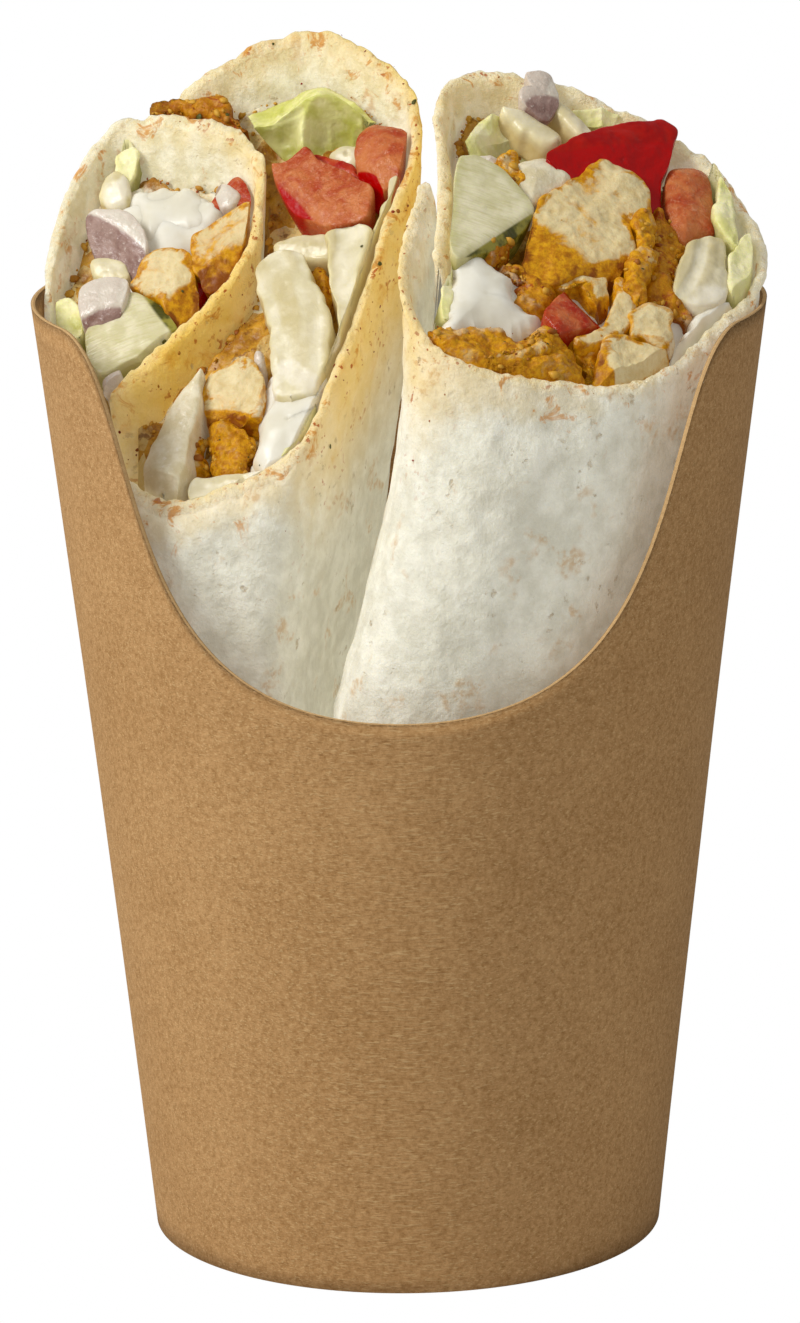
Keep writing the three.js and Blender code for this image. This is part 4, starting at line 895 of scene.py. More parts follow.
def onion():
    """Raw red onion: glassy white flesh, veined, with dull purple along its outer skin."""
    f = Finish("red_onion_flesh")
    skin, tone, grain, side = f.values("skin", "tone", "grain", "side")
    cloud = f.noise(2.6, 3, 0.6)
    fine = f.noise(0.6, 3, 0.6)
    base = f.cloudy(cloud, "cdbf98", "dfd5b8")
    base = f.mix(f.step(tone, 0.1, 0.6), base, "cfc5b4")
    base = f.mix(f.step(grain + (cloud - 0.5) * 0.6, 0.35, 0.8) * tone * 0.35, base, "a88c82")
    amount = skin + side * 0.5 + (cloud - 0.5) * 1.1 + (fine - 0.5) * 0.6
    purple = f.cloudy(cloud, "7c5a50", "a2877c")
    base = f.mix(f.step(amount, 0.25, 1.0) * f.step(tone, 0.1, 0.6), base, purple)
    base = f.mix(f.step(fine, 0.6, 0.74) * 0.6, base, "e6ddd0")
    f.bump(grain * 0.12 + fine * 0.16)
    f.flesh(0.3, 1.4, (1.0, 0.8, 0.7))
    # Painted glow: emission in the onion's own colour lifts its shaded parts.
    f.painted_glow(base, 0.12)
    return f.shade(Base_Color=base, Roughness=0.28, Specular_IOR_Level=0.4, Coat_Weight=0.15,
                   Coat_Roughness=0.12)


def lettuce():
    """Lettuce leaf: yellow-green, paler at its ribs, with painted shade in dark olive in its folds and on its
    sides.
    """
    f = Finish("lettuce_leaf_green")
    tone, grain, side = f.values("tone", "grain", "side")
    cloud = f.noise(4, 3, 0.6)
    ribs = f.step(f.noise(1.6, 3, 0.6, 0.5), 0.5, 0.68)
    pale = f.cloudy(cloud, "e6dfb2", "d8d290")
    green = f.cloudy(cloud, "e4e09c", "bcbc58")
    base = f.mix(f.step(tone + (cloud - 0.5) * 0.6, 0.1, 0.9), pale, green)
    base = f.mix(ribs * 0.35, base, "d3cf90")
    # Painted shade: the side value, set on a leaf's low folds and on the sides of strips, darkens to olive.
    base = f.mix(side * 0.7, base, "6f6a08")
    f.bump(f.noise(1.0, 3, 0.6) * 0.2 + grain * 0.1)
    f.flesh(0.3, 1.2, (0.8, 1.0, 0.35))
    # Painted glow: emission in the leaf's own colour lifts its shaded parts.
    f.painted_glow(base, 0.12)
    return f.shade(Base_Color=base, Roughness=0.42, Specular_IOR_Level=0.3, Coat_Weight=0.06,
                   Coat_Roughness=0.2)


def cabbage():
    """White cabbage: creamy, glassy ribs with long veins and a faint green or yellow edge."""
    f = Finish("white_cabbage_rib")
    tone, grain, rim, cream = f.values("tone", "grain", "rim", "cream")
    side = f.value("side")
    cloud = f.noise(4, 3, 0.6)
    base = f.cloudy(cloud, "cbc09a", "dcd3b6")
    base = f.mix(f.step(grain, 0.35, 0.85) * 0.5, base, "b8a66e")
    base = f.mix(f.step(rim + (cloud - 0.5), 0.5, 1.2) * (0.2 + tone * 0.5), base, "cdbb68")
    base = f.mix(side * 0.5, base, "b08f3e")
    base = f.mix(f.step(cream + (cloud - 0.5) * 1.2, 0.55, 0.95) * 0.7, base, "e6dfcc")
    f.bump(grain * 0.22 + f.noise(0.9, 3, 0.6) * 0.08)
    f.flesh(0.3, 1.6, (1.0, 0.9, 0.5))
    # Painted glow: emission in the cabbage's own colour lifts its shaded parts.
    f.painted_glow(base, 0.12)
    return f.shade(Base_Color=base, Roughness=0.34, Specular_IOR_Level=0.35, Coat_Weight=0.1,
                   Coat_Roughness=0.15)


def sauce():
    """Thick white garlic sauce: smooth, bright and wet, tinged with spice at its thin edges."""
    f = Finish("garlic_sauce_white")
    cloud = f.noise(5, 3, 0.5)
    rim = f.value("rim")
    base = f.mix(f.step(cloud, 0.3, 0.7), "d0cab6", "dcd8ca")
    base = f.mix(f.step(rim + (cloud - 0.5) * 1.4, 0.75, 1.25) * 0.5, base, "d3b67c")
    f.bump(f.noise(2.2, 2, 0.5) * 0.06)
    f.flesh(0.5, 2.4, (1.0, 0.95, 0.85))
    # Painted glow: emission in the sauce's own colour lifts its shaded parts.
    f.painted_glow(base, 0.15)
    return f.shade(Base_Color=base, Roughness=0.34, Specular_IOR_Level=0.3, Coat_Weight=0.06,
                   Coat_Roughness=0.15)


def filling():
    """Packed filling: scraps of spiced chicken, cabbage and sauce in one moist mass, dark partly as painted
    shade in the gaps.
    """
    f = Finish("packed_filling_mix")
    lumps = f.cells(3.4)
    mottle = f.noise(2.6, 4, 0.65)
    scraps = lumps + (mottle - 0.5) * 0.6
    cream = f.value("cream")
    # Partly painted shade: the dark browns of the base and the spots are the spice's own colour and also
    # stand in for the shade in the gaps where the filling shows.
    base = f.cloudy(mottle, "94600e", "c3912c")
    base = f.mix(f.step(scraps, 0.5, 0.7), base, "cdb272")
    base = f.mix(f.step(scraps, 0.8, 0.95), base, "ddd2b0")
    base = f.mix(f.step(f.noise(1.6, 3, 0.6), 0.56, 0.68) * 0.7, base, "6e3a04")
    base = f.mix(f.step(cream + (mottle - 0.5) * 2.0, 0.3, 0.8) * 0.9, base, "e2dbc6")
    f.bump(mottle * 0.6)
    f.flesh(0.15, 1.0)
    # Painted glow: emission in the filling's own colour lifts its shaded parts.
    f.painted_glow(base, 0.06)
    return f.shade(Base_Color=base, Roughness=0.42, Specular_IOR_Level=0.3, Coat_Weight=0.1,
                   Coat_Roughness=0.25)


def crumb():
    """Loose crumbs: yellow chicken, brown spice or dried herb, by each crumb's tone."""
    f = Finish("spice_crumb")
    tone = f.value("tone")
    base = f.mix(f.step(tone, 0.25, 0.5), "c9962e", "96500a")
    base = f.mix(f.step(tone, 0.6, 0.7), base, "8a2a02")
    base = f.mix(f.step(tone, 0.88, 0.9), base, "4c4a10")
    return f.shade(Base_Color=base, Roughness=0.5, Specular_IOR_Level=0.3)


MATERIALS = {}


def material(slot):
    """The finish of a record slot, made once."""
    makers = {
        "paperboard": kraft, "flatbread": bread, "packed_filling": filling, "tomato": tomato,
        "spiced_chicken": lambda: chicken("spiced_chicken_meat", False),
        "pale_chicken": lambda: chicken("pale_chicken_meat", True),
        "cucumber": cucumber, "red_onion": onion, "lettuce": lettuce, "white_cabbage": cabbage,
        "garlic_sauce": sauce, "crumb": crumb,
    }
    if slot not in MATERIALS:
        MATERIALS[slot] = makers[slot]()
    return MATERIALS[slot]


# ---- Shapes --------------------------------------------------------------------------


def cup_edge(count):
    """Angle from the front and height round the cup's edge: a Bezier scoop, the level rim, and back."""
    t = np.linspace(0, 1, count)
    powers = np.stack([(1 - t) ** 3, 3 * t * (1 - t) ** 2, 3 * t * t * (1 - t), t**3])
    angle = np.array(SCOOP_REACH) @ powers
    height = np.array([SCOOP_LOW, SCOOP_LOW, CUP_HEIGHT, CUP_HEIGHT]) @ powers
    rim = np.linspace(SCOOP_REACH[3], 360 - SCOOP_REACH[3], 2 * count)[1:-1]
    angles = np.concatenate([angle, rim, 360 - angle[::-1]])
    heights = np.concatenate([height, np.full(rim.shape, CUP_HEIGHT), height[::-1]])
    return np.radians(angles[:-1]), heights[:-1]


def cup_wall():
    """The board's section carried round the cup: outside up, over the cut edge, inside down, hem."""
    angle, top = cup_edge(SCOOP_POINTS)
    up = np.linspace(0, 1, WALL_ROWS)
    over = np.radians(np.linspace(20, 160, EDGE_ROWS))
    half = BOARD / 2
    hem = [0, 0, 0, 0]
    inset = np.concatenate([0 * up, half - half * np.cos(over), 0 * up + BOARD, [BOARD, HEM, HEM, HEM]])
    share = np.concatenate([up, np.ones(EDGE_ROWS), up[::-1], hem])
    rise = np.concatenate([0 * up, half * np.sin(over) - half, 0 * up, hem])
    edge = np.concatenate([0 * up, np.ones(EDGE_ROWS), 0 * up, hem])
    z = share[None, :] * (top[:, None] - HEM_HEIGHT) + HEM_HEIGHT + rise[None, :]
    z[:, :WALL_ROWS] = up[None, :] * top[:, None]
    z[:, -len(hem):] = np.array([HEM_HEIGHT, HEM_HEIGHT, HEM_HEIGHT / 2, 0])
    z[:, WALL_ROWS - 1] -= EDGE_DROP
    z[:, WALL_ROWS + EDGE_ROWS] -= EDGE_DROP
    turn = np.degrees(angle)
    seam = ease_step(turn, SEAM_FROM, SEAM_FROM + SEAM_SLOPE)
    seam = seam * (1 - ease_step(turn, SEAM_TO - SEAM_SLOPE, SEAM_TO))
    radius = cup_radius(np.clip(z, 0, CUP_HEIGHT)) - inset[None, :]
    x = np.cos(angle)[:, None] * MEAN_RADIUS + 0 * z
    y = np.sin(angle)[:, None] * MEAN_RADIUS + 0 * z
    wave = noise(np.stack([x, y, z], -1), WALL_WAVE, 3)
    radius = radius + WAVE_HEIGHT * wave * ease_step(z, 10, 60)
    radius[:, :WALL_ROWS + EDGE_ROWS // 2] += SEAM_RISE * seam[:, None]
    grid = np.stack([radius * np.sin(angle)[:, None], -radius * np.cos(angle)[:, None], z], -1)
    grid = np.concatenate([grid, grid[:1]])
    near = np.broadcast_to(edge, z.shape)
    near = np.concatenate([near, near[:1]])
    return closed_piece("cup_board", grid, {"edge": near}, "paperboard", ["cup_wall"], capped=False)


def cup_base():
    """The base: a disc lying on the hem, its section turned about the axis."""
    bottom = HEM_HEIGHT + 0.3
    radius = cup_radius(bottom) - BOARD - 0.3
    profile = [(0.4, 0), (0.9, 0), (0.985, 0.0), (1, 0.25), (1, 0.75), (0.985, 1), (0.9, 1), (0.4, 1)]
    angle = np.linspace(0, 2 * np.pi, 160, endpoint=False)
    rings = [np.stack([radius * r * np.cos(angle), radius * r * np.sin(angle),
                       np.full(angle.shape, bottom + BOARD * h)], -1) for r, h in profile]
    return closed_piece("cup_disc", np.array(rings), {"edge": 0.0}, "paperboard", ["cup_base"])


def bread_sheet(name, half, roll, steps, faces, node):
    """The sheet: rails either side of the rolled path, followed down its fibres, its cut edge ragged."""
    at = np.linspace(0, len(roll) - 1, steps)
    pinch = np.minimum(1, np.minimum(at, at[-1] - at) / SHEET_PINCH)
    pinch = np.sqrt(np.maximum(0, 1 - (1 - pinch) ** 2))
    upper = np.linspace(0, 1, UPPER_ROWS) ** CROWDING * 0.5
    down = np.concatenate([upper, np.linspace(0.5, 1, LOWER_ROWS + 1)[1:]])
    over = np.linspace(0, np.pi, LIP_ROWS + 2)[1:-1]
    share = np.concatenate([0 * down, (1 - np.cos(over)) / 2, np.ones_like(down)])
    depth = np.concatenate([down[::-1], 0 * over, down])
    crown = np.concatenate([0 * down, np.sin(over), 0 * down])
    left, right = rail(roll, -BREAD_THICKNESS / 2, at), rail(roll, BREAD_THICKNESS / 2, at)
    path = np.stack([left[:, 0], left[:, 1], 0 * at], -1)
    body = pinch * (1 + 0.22 * noise(path, 5.0, 4))
    lip = 1 - 0.28 * np.exp(-depth[None, :] * 30)
    across = 0.5 + (share[None, :] - 0.5) * body[:, None] * lip
    x = left[:, :1] + (right[:, :1] - left[:, :1]) * across
    y = left[:, 1:] + (right[:, 1:] - left[:, 1:]) * across
    run = np.stack([x, y, 0 * x], -1)
    ragged = 0.5 * rugged(run, 11.0, 5, 2) + 0.35 * rugged(run, 1.6, 8)
    lift = (ragged + 0.6 * crown[None, :] - 0.5) * np.exp(-depth[None, :] * 18)
    grid = fibre(half, x, y, depth[None, :], lift)
    out = grid_normals(grid)
    near_cut = np.exp(-depth[None, :] * 60)
    relief = 0.28 * noise(grid, 8.5, 21) + 0.2 * noise(grid, 3.4, 22) + 0.1 * noise(grid, 1.4, 23)
    relief = relief * (1 - 0.6 * near_cut) + near_cut * 0.12 * rugged(grid, 1.1, 24, 2)
    grid = inside_cup(grid + out * (relief * pinch[:, None])[..., None])
    cut = half["level"] + half["slope"][0] * x + half["slope"][1] * y
    fields = {"below": cut - grid[..., 2], "edge": crown[None, :] + 0 * x}
    for key in ("food", "warm"):
        first, last = (np.interp(at, faces["knots"], faces[key][k])[:, None] for k in (0, 1))
        fields[key] = first + (last - first) * share[None, :]
    stained = fields["warm"] ** 2 * np.exp(-np.maximum(fields["below"], 0) / 6) + 0.1 * fields["edge"]
    land("sheet", grid, out, stained)
    return closed_piece(name, grid, fields, "flatbread", [node])


def packed(name, half, knots, first, second, creamy, node):
    """Filling between two rails, its top a crumbly surface on the plane under the loose pieces."""
    steps, rows, across = 170, 7, 70
    pinch = np.linspace(0, 1, steps)
    a = rail(knots, first[0], np.linspace(first[1], first[2], steps))
    b = rail(knots, second[0], np.linspace(second[1], second[2], steps))
    down = np.linspace(1, 0, rows)
    share = np.concatenate([np.zeros(rows), np.linspace(0, 1, across + 1)[1:-1], np.ones(rows)])
    depth = np.concatenate([down, np.zeros(across - 1), down[::-1]])
    close = np.minimum(1, np.minimum(pinch, 1 - pinch) * 60)
    share = 0.5 + (share[None, :] - 0.5) * close[:, None]
    x = a[:, :1] + (b[:, :1] - a[:, :1]) * share
    y = a[:, 1:] + (b[:, 1:] - a[:, 1:]) * share
    start = depth_of(half, x, y, FILLING_TOP)
    grid = fibre(half, x, y, start + (1 - start) * depth[None, :])
    flat = np.stack([x, y, 0 * x], -1)
    bumps = 1.1 * rugged(flat, 4.2, 31, 4) + FILLING_RISE
    top = (depth[None, :] == 0) * 1.0
    grid[..., 2] += bumps * top * close[:, None]
    land("filling", grid, half["n"] + 0 * grid, top * close[:, None])
    fields = {"side": 1 - top, "cream": nearness(grid, creamy, 6.0)}
    return closed_piece(name, grid, fields, "packed_filling", [node])


def inner_edges():
    """The inner face of the sheet round each compartment, as closed loops on the cut's plan."""
    gap = BREAD_THICKNESS / 2 + 0.15
    inner = rail(LEFT_ROLL, -gap, np.linspace(0, 15, 150))
    outer = np.concatenate([rail(LEFT_ROLL, gap, np.linspace(0, 9.4, 90)),
                            rail(LEFT_ROLL, -gap, np.linspace(30.9, 14.8, 150))])
    return {INNER: inner, OUTER: outer, WHOLE: rail(RIGHT_ROLL, gap, np.linspace(0, 21.4, 190))}


def to_edge(places, loop):
    """The way from each place outside the loop to its nearest point on it; nothing for those inside."""
    way = np.zeros_like(places)
    start, side = loop, np.roll(loop, -1, 0) - loop
    for first in range(0, len(places), BATCH):
        p = places[first:first + BATCH, None]
        share = np.clip(np.sum((p - start) * side, -1) / np.sum(side * side, -1), 0, 1)
        near = start + share[..., None] * side
        best = np.argmin(np.sum((p - near) ** 2, -1), 1)
        above = start[:, 1] > p[..., 1]
        crossed = above != np.roll(above, -1, 1)
        reach = side[:, 0] * (p[..., 1] - start[:, 1]) / np.where(side[:, 1] == 0, 1e-9, side[:, 1])
        inside = np.sum(crossed & (p[..., 0] < start[:, 0] + reach), 1) % 2 == 1
        step = near[np.arange(len(p)), best] - p[:, 0]
        way[first:first + BATCH] = np.where(inside[:, None], 0, step)
    return way


def keep_inside(half, grid, loop):
    """Each point followed up its fibre to the cut, brought inside the loop there and taken back."""
    (mx, my), (across, front, back) = half["mid"]
    (fx, fy), (foot_across, foot_front, foot_back) = half["foot"]
    cx, cy = half["centre"]
    x, y, z = grid[..., 0], grid[..., 1], grid[..., 2]
    x0, y0 = x, y
    for _ in range(5):
        cut = half["level"] + half["slope"][0] * x0 + half["slope"][1] * y0
        a, b = 2 * cut - 4 * MID_LEVEL + 2 * FOOT_LEVEL, -3 * cut + 4 * MID_LEVEL - FOOT_LEVEL
        sunk = np.maximum(cut - z, 0)
        d = 2 * sunk / (np.sqrt(np.maximum(b * b - 4 * a * sunk, 0)) - b)
        top, mid, foot = (1 - d) * (1 - 2 * d), 4 * d * (1 - d), d * (2 * d - 1)
        scale_x = top + across * mid + foot_across * foot
        scale_y = top + np.where(y0 < cy, front, back) * mid + np.where(y0 < cy, foot_front, foot_back) * foot
        x0 = (x - pressed_in(half, x0, d) - mx * mid - fx * foot - cx * (top - scale_x)) / scale_x
        y0 = (y - my * mid - fy * foot - cy * (top - scale_y)) / scale_y
    way = to_edge(np.stack([x0, y0], -1).reshape(-1, 2), loop).reshape(*x.shape, 2)
    out = grid.copy()
    out[..., 0] += way[..., 0] * scale_x
    out[..., 1] += way[..., 1] * scale_y
    return inside_cup(out)


def smooth_loop(corners, soft, count):
    """Corners cut three times, each side keeping its middle, then `count` evenly spaced points."""
    loop = np.array(corners, float)
    for _ in range(3):
        after = np.roll(loop, -1, 0)
        loop = np.stack([loop + (after - loop) * soft, after + (loop - after) * soft], 1).reshape(-1, 2)
    closed = np.concatenate([loop, loop[:1]])
    run = np.concatenate([[0], np.cumsum(np.linalg.norm(np.diff(closed, axis=0), axis=1))])
    at = np.linspace(0, run[-1], count, endpoint=False)
    loop = np.stack([np.interp(at, run, closed[:, k]) for k in (0, 1)], -1)
    after = np.roll(loop, -1, 0)
    turning = np.sum(loop[:, 0] * after[:, 1] - loop[:, 1] * after[:, 0])
    return loop if turning > 0 else loop[::-1]


def rounded(inset, radius):
    """How far a rounded edge of this radius has dropped, at an inset from it: a quarter circle."""
    within = radius - np.minimum(inset, radius)
    return radius - np.sqrt(np.maximum(radius**2 - within**2, 0))


def crown(item, p, middle, inset):
    """Height of a piece's top and the share of facet: dome, tilt, rounded edge, and the facets' slopes."""
    radius = KINDS[item["kind"]][1]
    off = p - middle
    full = max(float(inset.max()), 1e-3)
    height = item["top"] + off @ np.array(item["tilt"], float)
    height = height - item["dome"] * (1 - np.minimum(inset / full, 1)) ** 2 - rounded(inset, radius)
    skin = np.zeros_like(height)
    for direction, distance, steep in item["facets"]:
        angle = math.radians(direction)
        slope = item["top"] + (distance - off @ np.array([math.cos(angle), math.sin(angle)])) * steep
        skin = np.maximum(skin, ease_step(height - slope, -0.15, 0.45))
        height = -0.25 * np.logaddexp(-height / 0.25, -slope / 0.25)
    return height, skin


def slab_grid(item):
    """Rings of the smoothed outline shrunk to its middle for the top, and carried down for the sides."""
    around = int(np.clip(np.ptp(np.array(item["outline"]), axis=0).sum() * 6, 90, 200))
    loop = smooth_loop(item["outline"], item["soft"], around)
    along = np.roll(loop, -1, 0) - np.roll(loop, 1, 0)
    away = np.stack([along[:, 1], -along[:, 0]], -1) / np.linalg.norm(along, axis=1, keepdims=True)
    spot = np.stack([*loop.T, np.full(around, item["top"])], -1)
    stray = noise(spot, 2.4, around) + 0.5 * noise(spot, 1.0, around + 1)
    loop = loop + away * (stray * KINDS[item["kind"]][4])[:, None]
    after = np.roll(loop, -1, 0)
    area = (loop[:, 0] * after[:, 1] - loop[:, 1] * after[:, 0])[:, None]
    middle = np.sum((loop + after) * area, 0) / (3 * area.sum())
    share = 1 - np.linspace(0.985, 0, TOP_RINGS) ** 1.35
    p = middle + share[:, None, None] * (loop - middle)
    flat = p.reshape(-1, 1, 2)
    inset = np.sqrt(np.min(np.sum((flat - loop) ** 2, -1), 1)).reshape(p.shape[:2])
    height, skin = crown(item, p, middle, inset)
    down = np.linspace(0, 1, WALL_RINGS + 1)[1:]
    walls = height[-1] + (item["floor"] - height[-1]) * down[:, None]
    draft = 1 - 0.1 * down**2
    under = np.array([0.85, 0.6, 0.3, 0.02])
    below = len(down) + len(under)
    p = np.concatenate([p, middle + draft[:, None, None] * (loop - middle),
                        middle + under[:, None, None] * (loop - middle)])
    height = np.concatenate([height, walls, np.full((len(under), around), item["floor"])])
    side = np.concatenate([np.zeros(TOP_RINGS), np.minimum(1, down * 3), np.ones_like(under)])[:, None]
    skin = np.concatenate([skin, np.repeat(skin[-1:], below, 0)])
    rim = np.concatenate([1 - np.minimum(inset / 2.5, 1), np.ones((below, around))])
    spread = (loop - middle).T @ (loop - middle)
    axis = np.linalg.eigh(spread)[1][:, 1]
    along, across = (p - middle) @ axis, (p - middle) @ np.array([-axis[1], axis[0]])
    return p, height, side, skin, rim, along, across


def strip_grid(item):
    """The path's section carried along it: a top between two rounded edges, and sides to the floor."""
    knots = np.array(item["path"], float)
    steps = int(np.clip(np.sum(np.linalg.norm(np.diff(knots[:, :2], axis=0), axis=1)) * 5, 50, 140))
    line, _ = smooth_path(knots, np.linspace(0, len(knots) - 1, steps))
    along = np.gradient(line[:, :2], axis=0)
    along /= np.linalg.norm(along, axis=1, keepdims=True)
    run = np.concatenate([[0], np.cumsum(np.linalg.norm(np.diff(line[:, :2], axis=0), axis=1))])
    ends = np.minimum(run, run[-1] - run)
    blunt = np.minimum(line[:, 2] / 2 + 0.1, 1.3)
    wide = line[:, 2] / 2 * np.sqrt(np.clip(1 - (1 - np.minimum(ends / blunt, 1)) ** 2, 0, 1))
    across = np.sin(np.linspace(-np.pi / 2, np.pi / 2, TOP_POINTS))
    down = np.linspace(0, 1, SIDE_POINTS + 1)[1:]
    b = np.concatenate([across, np.ones(SIDE_POINTS), [0.0], -np.ones(SIDE_POINTS)])
    fall = np.concatenate([np.zeros(TOP_POINTS), down, [1.0], down[::-1]])
    side_way = np.stack([-along[:, 1], along[:, 0]], -1)
    spot = np.stack([*line[:, :2].T, np.full(steps, item["top"])], -1)
    sway = noise(spot, 3.5, steps) * KINDS[item["kind"]][4] * np.minimum(1, ends / 2)
    line[:, :2] += side_way * sway[:, None]
    wide = wide * (1 + 0.25 * noise(spot, 2.0, steps + 1))
    p = line[:, None, :2] + (b[None, :] * wide[:, None])[..., None] * side_way[:, None]
    inset = np.maximum(wide[:, None] * (1 - np.abs(b[None, :])), 0)
    middle = line[:, :2].mean(0)
    height, skin = crown({**item, "dome": 0}, p, middle, inset)
    height = height + item["dome"] * (1 - b[None, :] ** 2)
    height = height + (item["floor"] - height) * fall[None, :]
    side = np.minimum(1, fall * 3)[None, :] + 0 * height
    rim = 1 - np.minimum(inset / 1.5, 1)
    return p, height, side, skin, rim, run[:, None] + 0 * height, b[None, :] * wide[:, None]


def nearness(grid, places, reach):
    """1 beside any of the places, easing to 0 at this distance from them all."""
    flat = grid.reshape(-1, 1, 3)
    gap = np.concatenate([np.sqrt(np.min(np.sum((flat[k:k + BATCH] - places) ** 2, -1), 1))
                          for k in range(0, len(flat), BATCH)])
    return 1 - ease_step(gap, 0.4, reach).reshape(grid.shape[:2])


def sauce_places():
    """The outlines of the sauce on the cuts."""
    return np.concatenate([
        on_cut(HALF_OF[item["turn"]], *smooth_loop(item["outline"], 0.25, 60).T, item["top"])
        for item in PIECES if item["kind"] == "sauce"])


# What crumbs can lie on: for each kind, points with their normals and the share of area of each.
LANDINGS = {}


def land(kind, grid, out, share):
    """Keeps a surface's points for crumbs to lie on, each with its normal and its area."""
    side = np.cross(np.gradient(grid, axis=0), np.gradient(grid, axis=1))
    area = np.linalg.norm(side, axis=-1) * share
    spots = [part.reshape(-1, part.shape[-1]) for part in (grid, out, area[..., None])]
    LANDINGS.setdefault(kind, []).append(np.concatenate(spots, 1))


def pebble():
    """An octahedron with each face split in four and its points pushed out to a ball."""
    tips = np.concatenate([np.eye(3), -np.eye(3)])
    faces = np.array([(0, 1, 2), (1, 3, 2), (3, 4, 2), (4, 0, 2), (1, 0, 5), (3, 1, 5), (4, 3, 5), (0, 4, 5)])
    pairs = np.sort(np.concatenate([faces[:, [0, 1]], faces[:, [1, 2]], faces[:, [2, 0]]]), 1)
    edges, back = np.unique(pairs, axis=0, return_inverse=True)
    middle = tips[edges].sum(1)
    points = np.concatenate([tips, middle / np.linalg.norm(middle, axis=1, keepdims=True)])
    (a, b, c), (ab, bc, ca) = faces.T, back.reshape(3, 8) + len(tips)
    split = [(a, ab, ca), (b, bc, ab), (c, ca, bc), (ab, bc, ca)]
    return points, np.concatenate([np.stack(corners, 1) for corners in split])


def crumbs(name, slot, kinds, sizes, flat, tones, seed):
    """Tiny lumps in one mesh, each a ball dented, stretched and turned about its surface's normal."""
    random = np.random.default_rng(seed)
    spots = []
    for kind, density in kinds:
        surface = np.concatenate(LANDINGS[kind])
        share = surface[:, 6] / surface[:, 6].sum()
        spots.append(surface[random.choice(len(surface), int(surface[:, 6].sum() * density), p=share)])
    spots = np.concatenate(spots)
    count = len(spots)
    ball, faces = pebble()
    way = spots[:, 3:6]
    first = np.cross(way, random.normal(size=(count, 3)))
    first /= np.linalg.norm(first, axis=1, keepdims=True)
    axes = np.stack([first, np.cross(way, first), way], 1)
    size = sizes[0] + (sizes[1] - sizes[0]) * random.random(count) ** 3
    stretch = random.uniform(0.6, 1.4, (count, 1, 3)) * np.array([1, 1, flat])
    dent = random.uniform(0.75, 1.15, (count, len(ball), 1))
    local = ball[None] * dent * stretch * size[:, None, None]
    place = spots[:, :3] + random.normal(0, CRUMB_SCATTER, (count, 3))
    points = np.einsum("nvk,nkj->nvj", local, axes) + place[:, None]
    faces = faces[None] + (np.arange(count) * len(ball))[:, None, None]
    tone = np.repeat(random.uniform(tones[0], tones[1], count), len(ball))
    return put_in_scene(name, points.reshape(-1, 3), faces.reshape(-1, 3), {"tone": tone}, slot, [],
                        "crumb")


def loose_piece(item, seed, loops, creamy, nodes):
    """A slab's or strip's grid roughened along its normals, kept inside the sheet, with its values."""
    slot, _, relief, grain_height, _ = KINDS[item["kind"]]
    half = HALF_OF[item["turn"]]
    p, height, side, skin, rim, along, across = (strip_grid if "path" in item else slab_grid)(item)
    lean = half["n"] * (1 - UPRIGHT) + np.array([0, 0, half["steep"]]) * UPRIGHT
    grid = on_cut(half, p[..., 0], p[..., 1], np.full(height.shape, float(item["top"])))
    grid = grid + (height - item["top"])[..., None] * lean
    out = grid_normals(grid)
    if np.einsum("ijk,ijk->", out, grid - grid.mean((0, 1))) < 0:
        out = -out
    move = sum((high * (1 - side) + low * side) * noise(grid, size, seed * 7 + k)
               for k, (size, high, low) in enumerate(relief))
    lines = np.stack([along / 9, (across + 0.5 * np.sin(along / 3.1 + seed)) / 1.3, height / 6], -1)
    grain = noise(lines, 1.0, seed)
    soft = np.minimum(1, np.linalg.norm(p - p.reshape(-1, 2).mean(0), axis=-1) / 0.5)
    grid = grid + out * ((move + grain_height * grain) * soft)[..., None]
    if not item["free"]:
        grid = keep_inside(half, grid, loops[item["turn"]])
    land(item["kind"], grid, out, (side < 0.7) * (0.35 + rim * 0.65))
    fields = {
        "rim": rim, "side": side, "tone": np.full(height.shape, float(item["tone"])), "skin": skin,
        "relief": move / sum(high for _, high, _ in relief), "grain": grain * 0.5 + 0.5,
        "cream": nearness(grid, creamy, 3.6),
    }
    return closed_piece(item["name"] + "_look", grid, fields, slot, nodes)


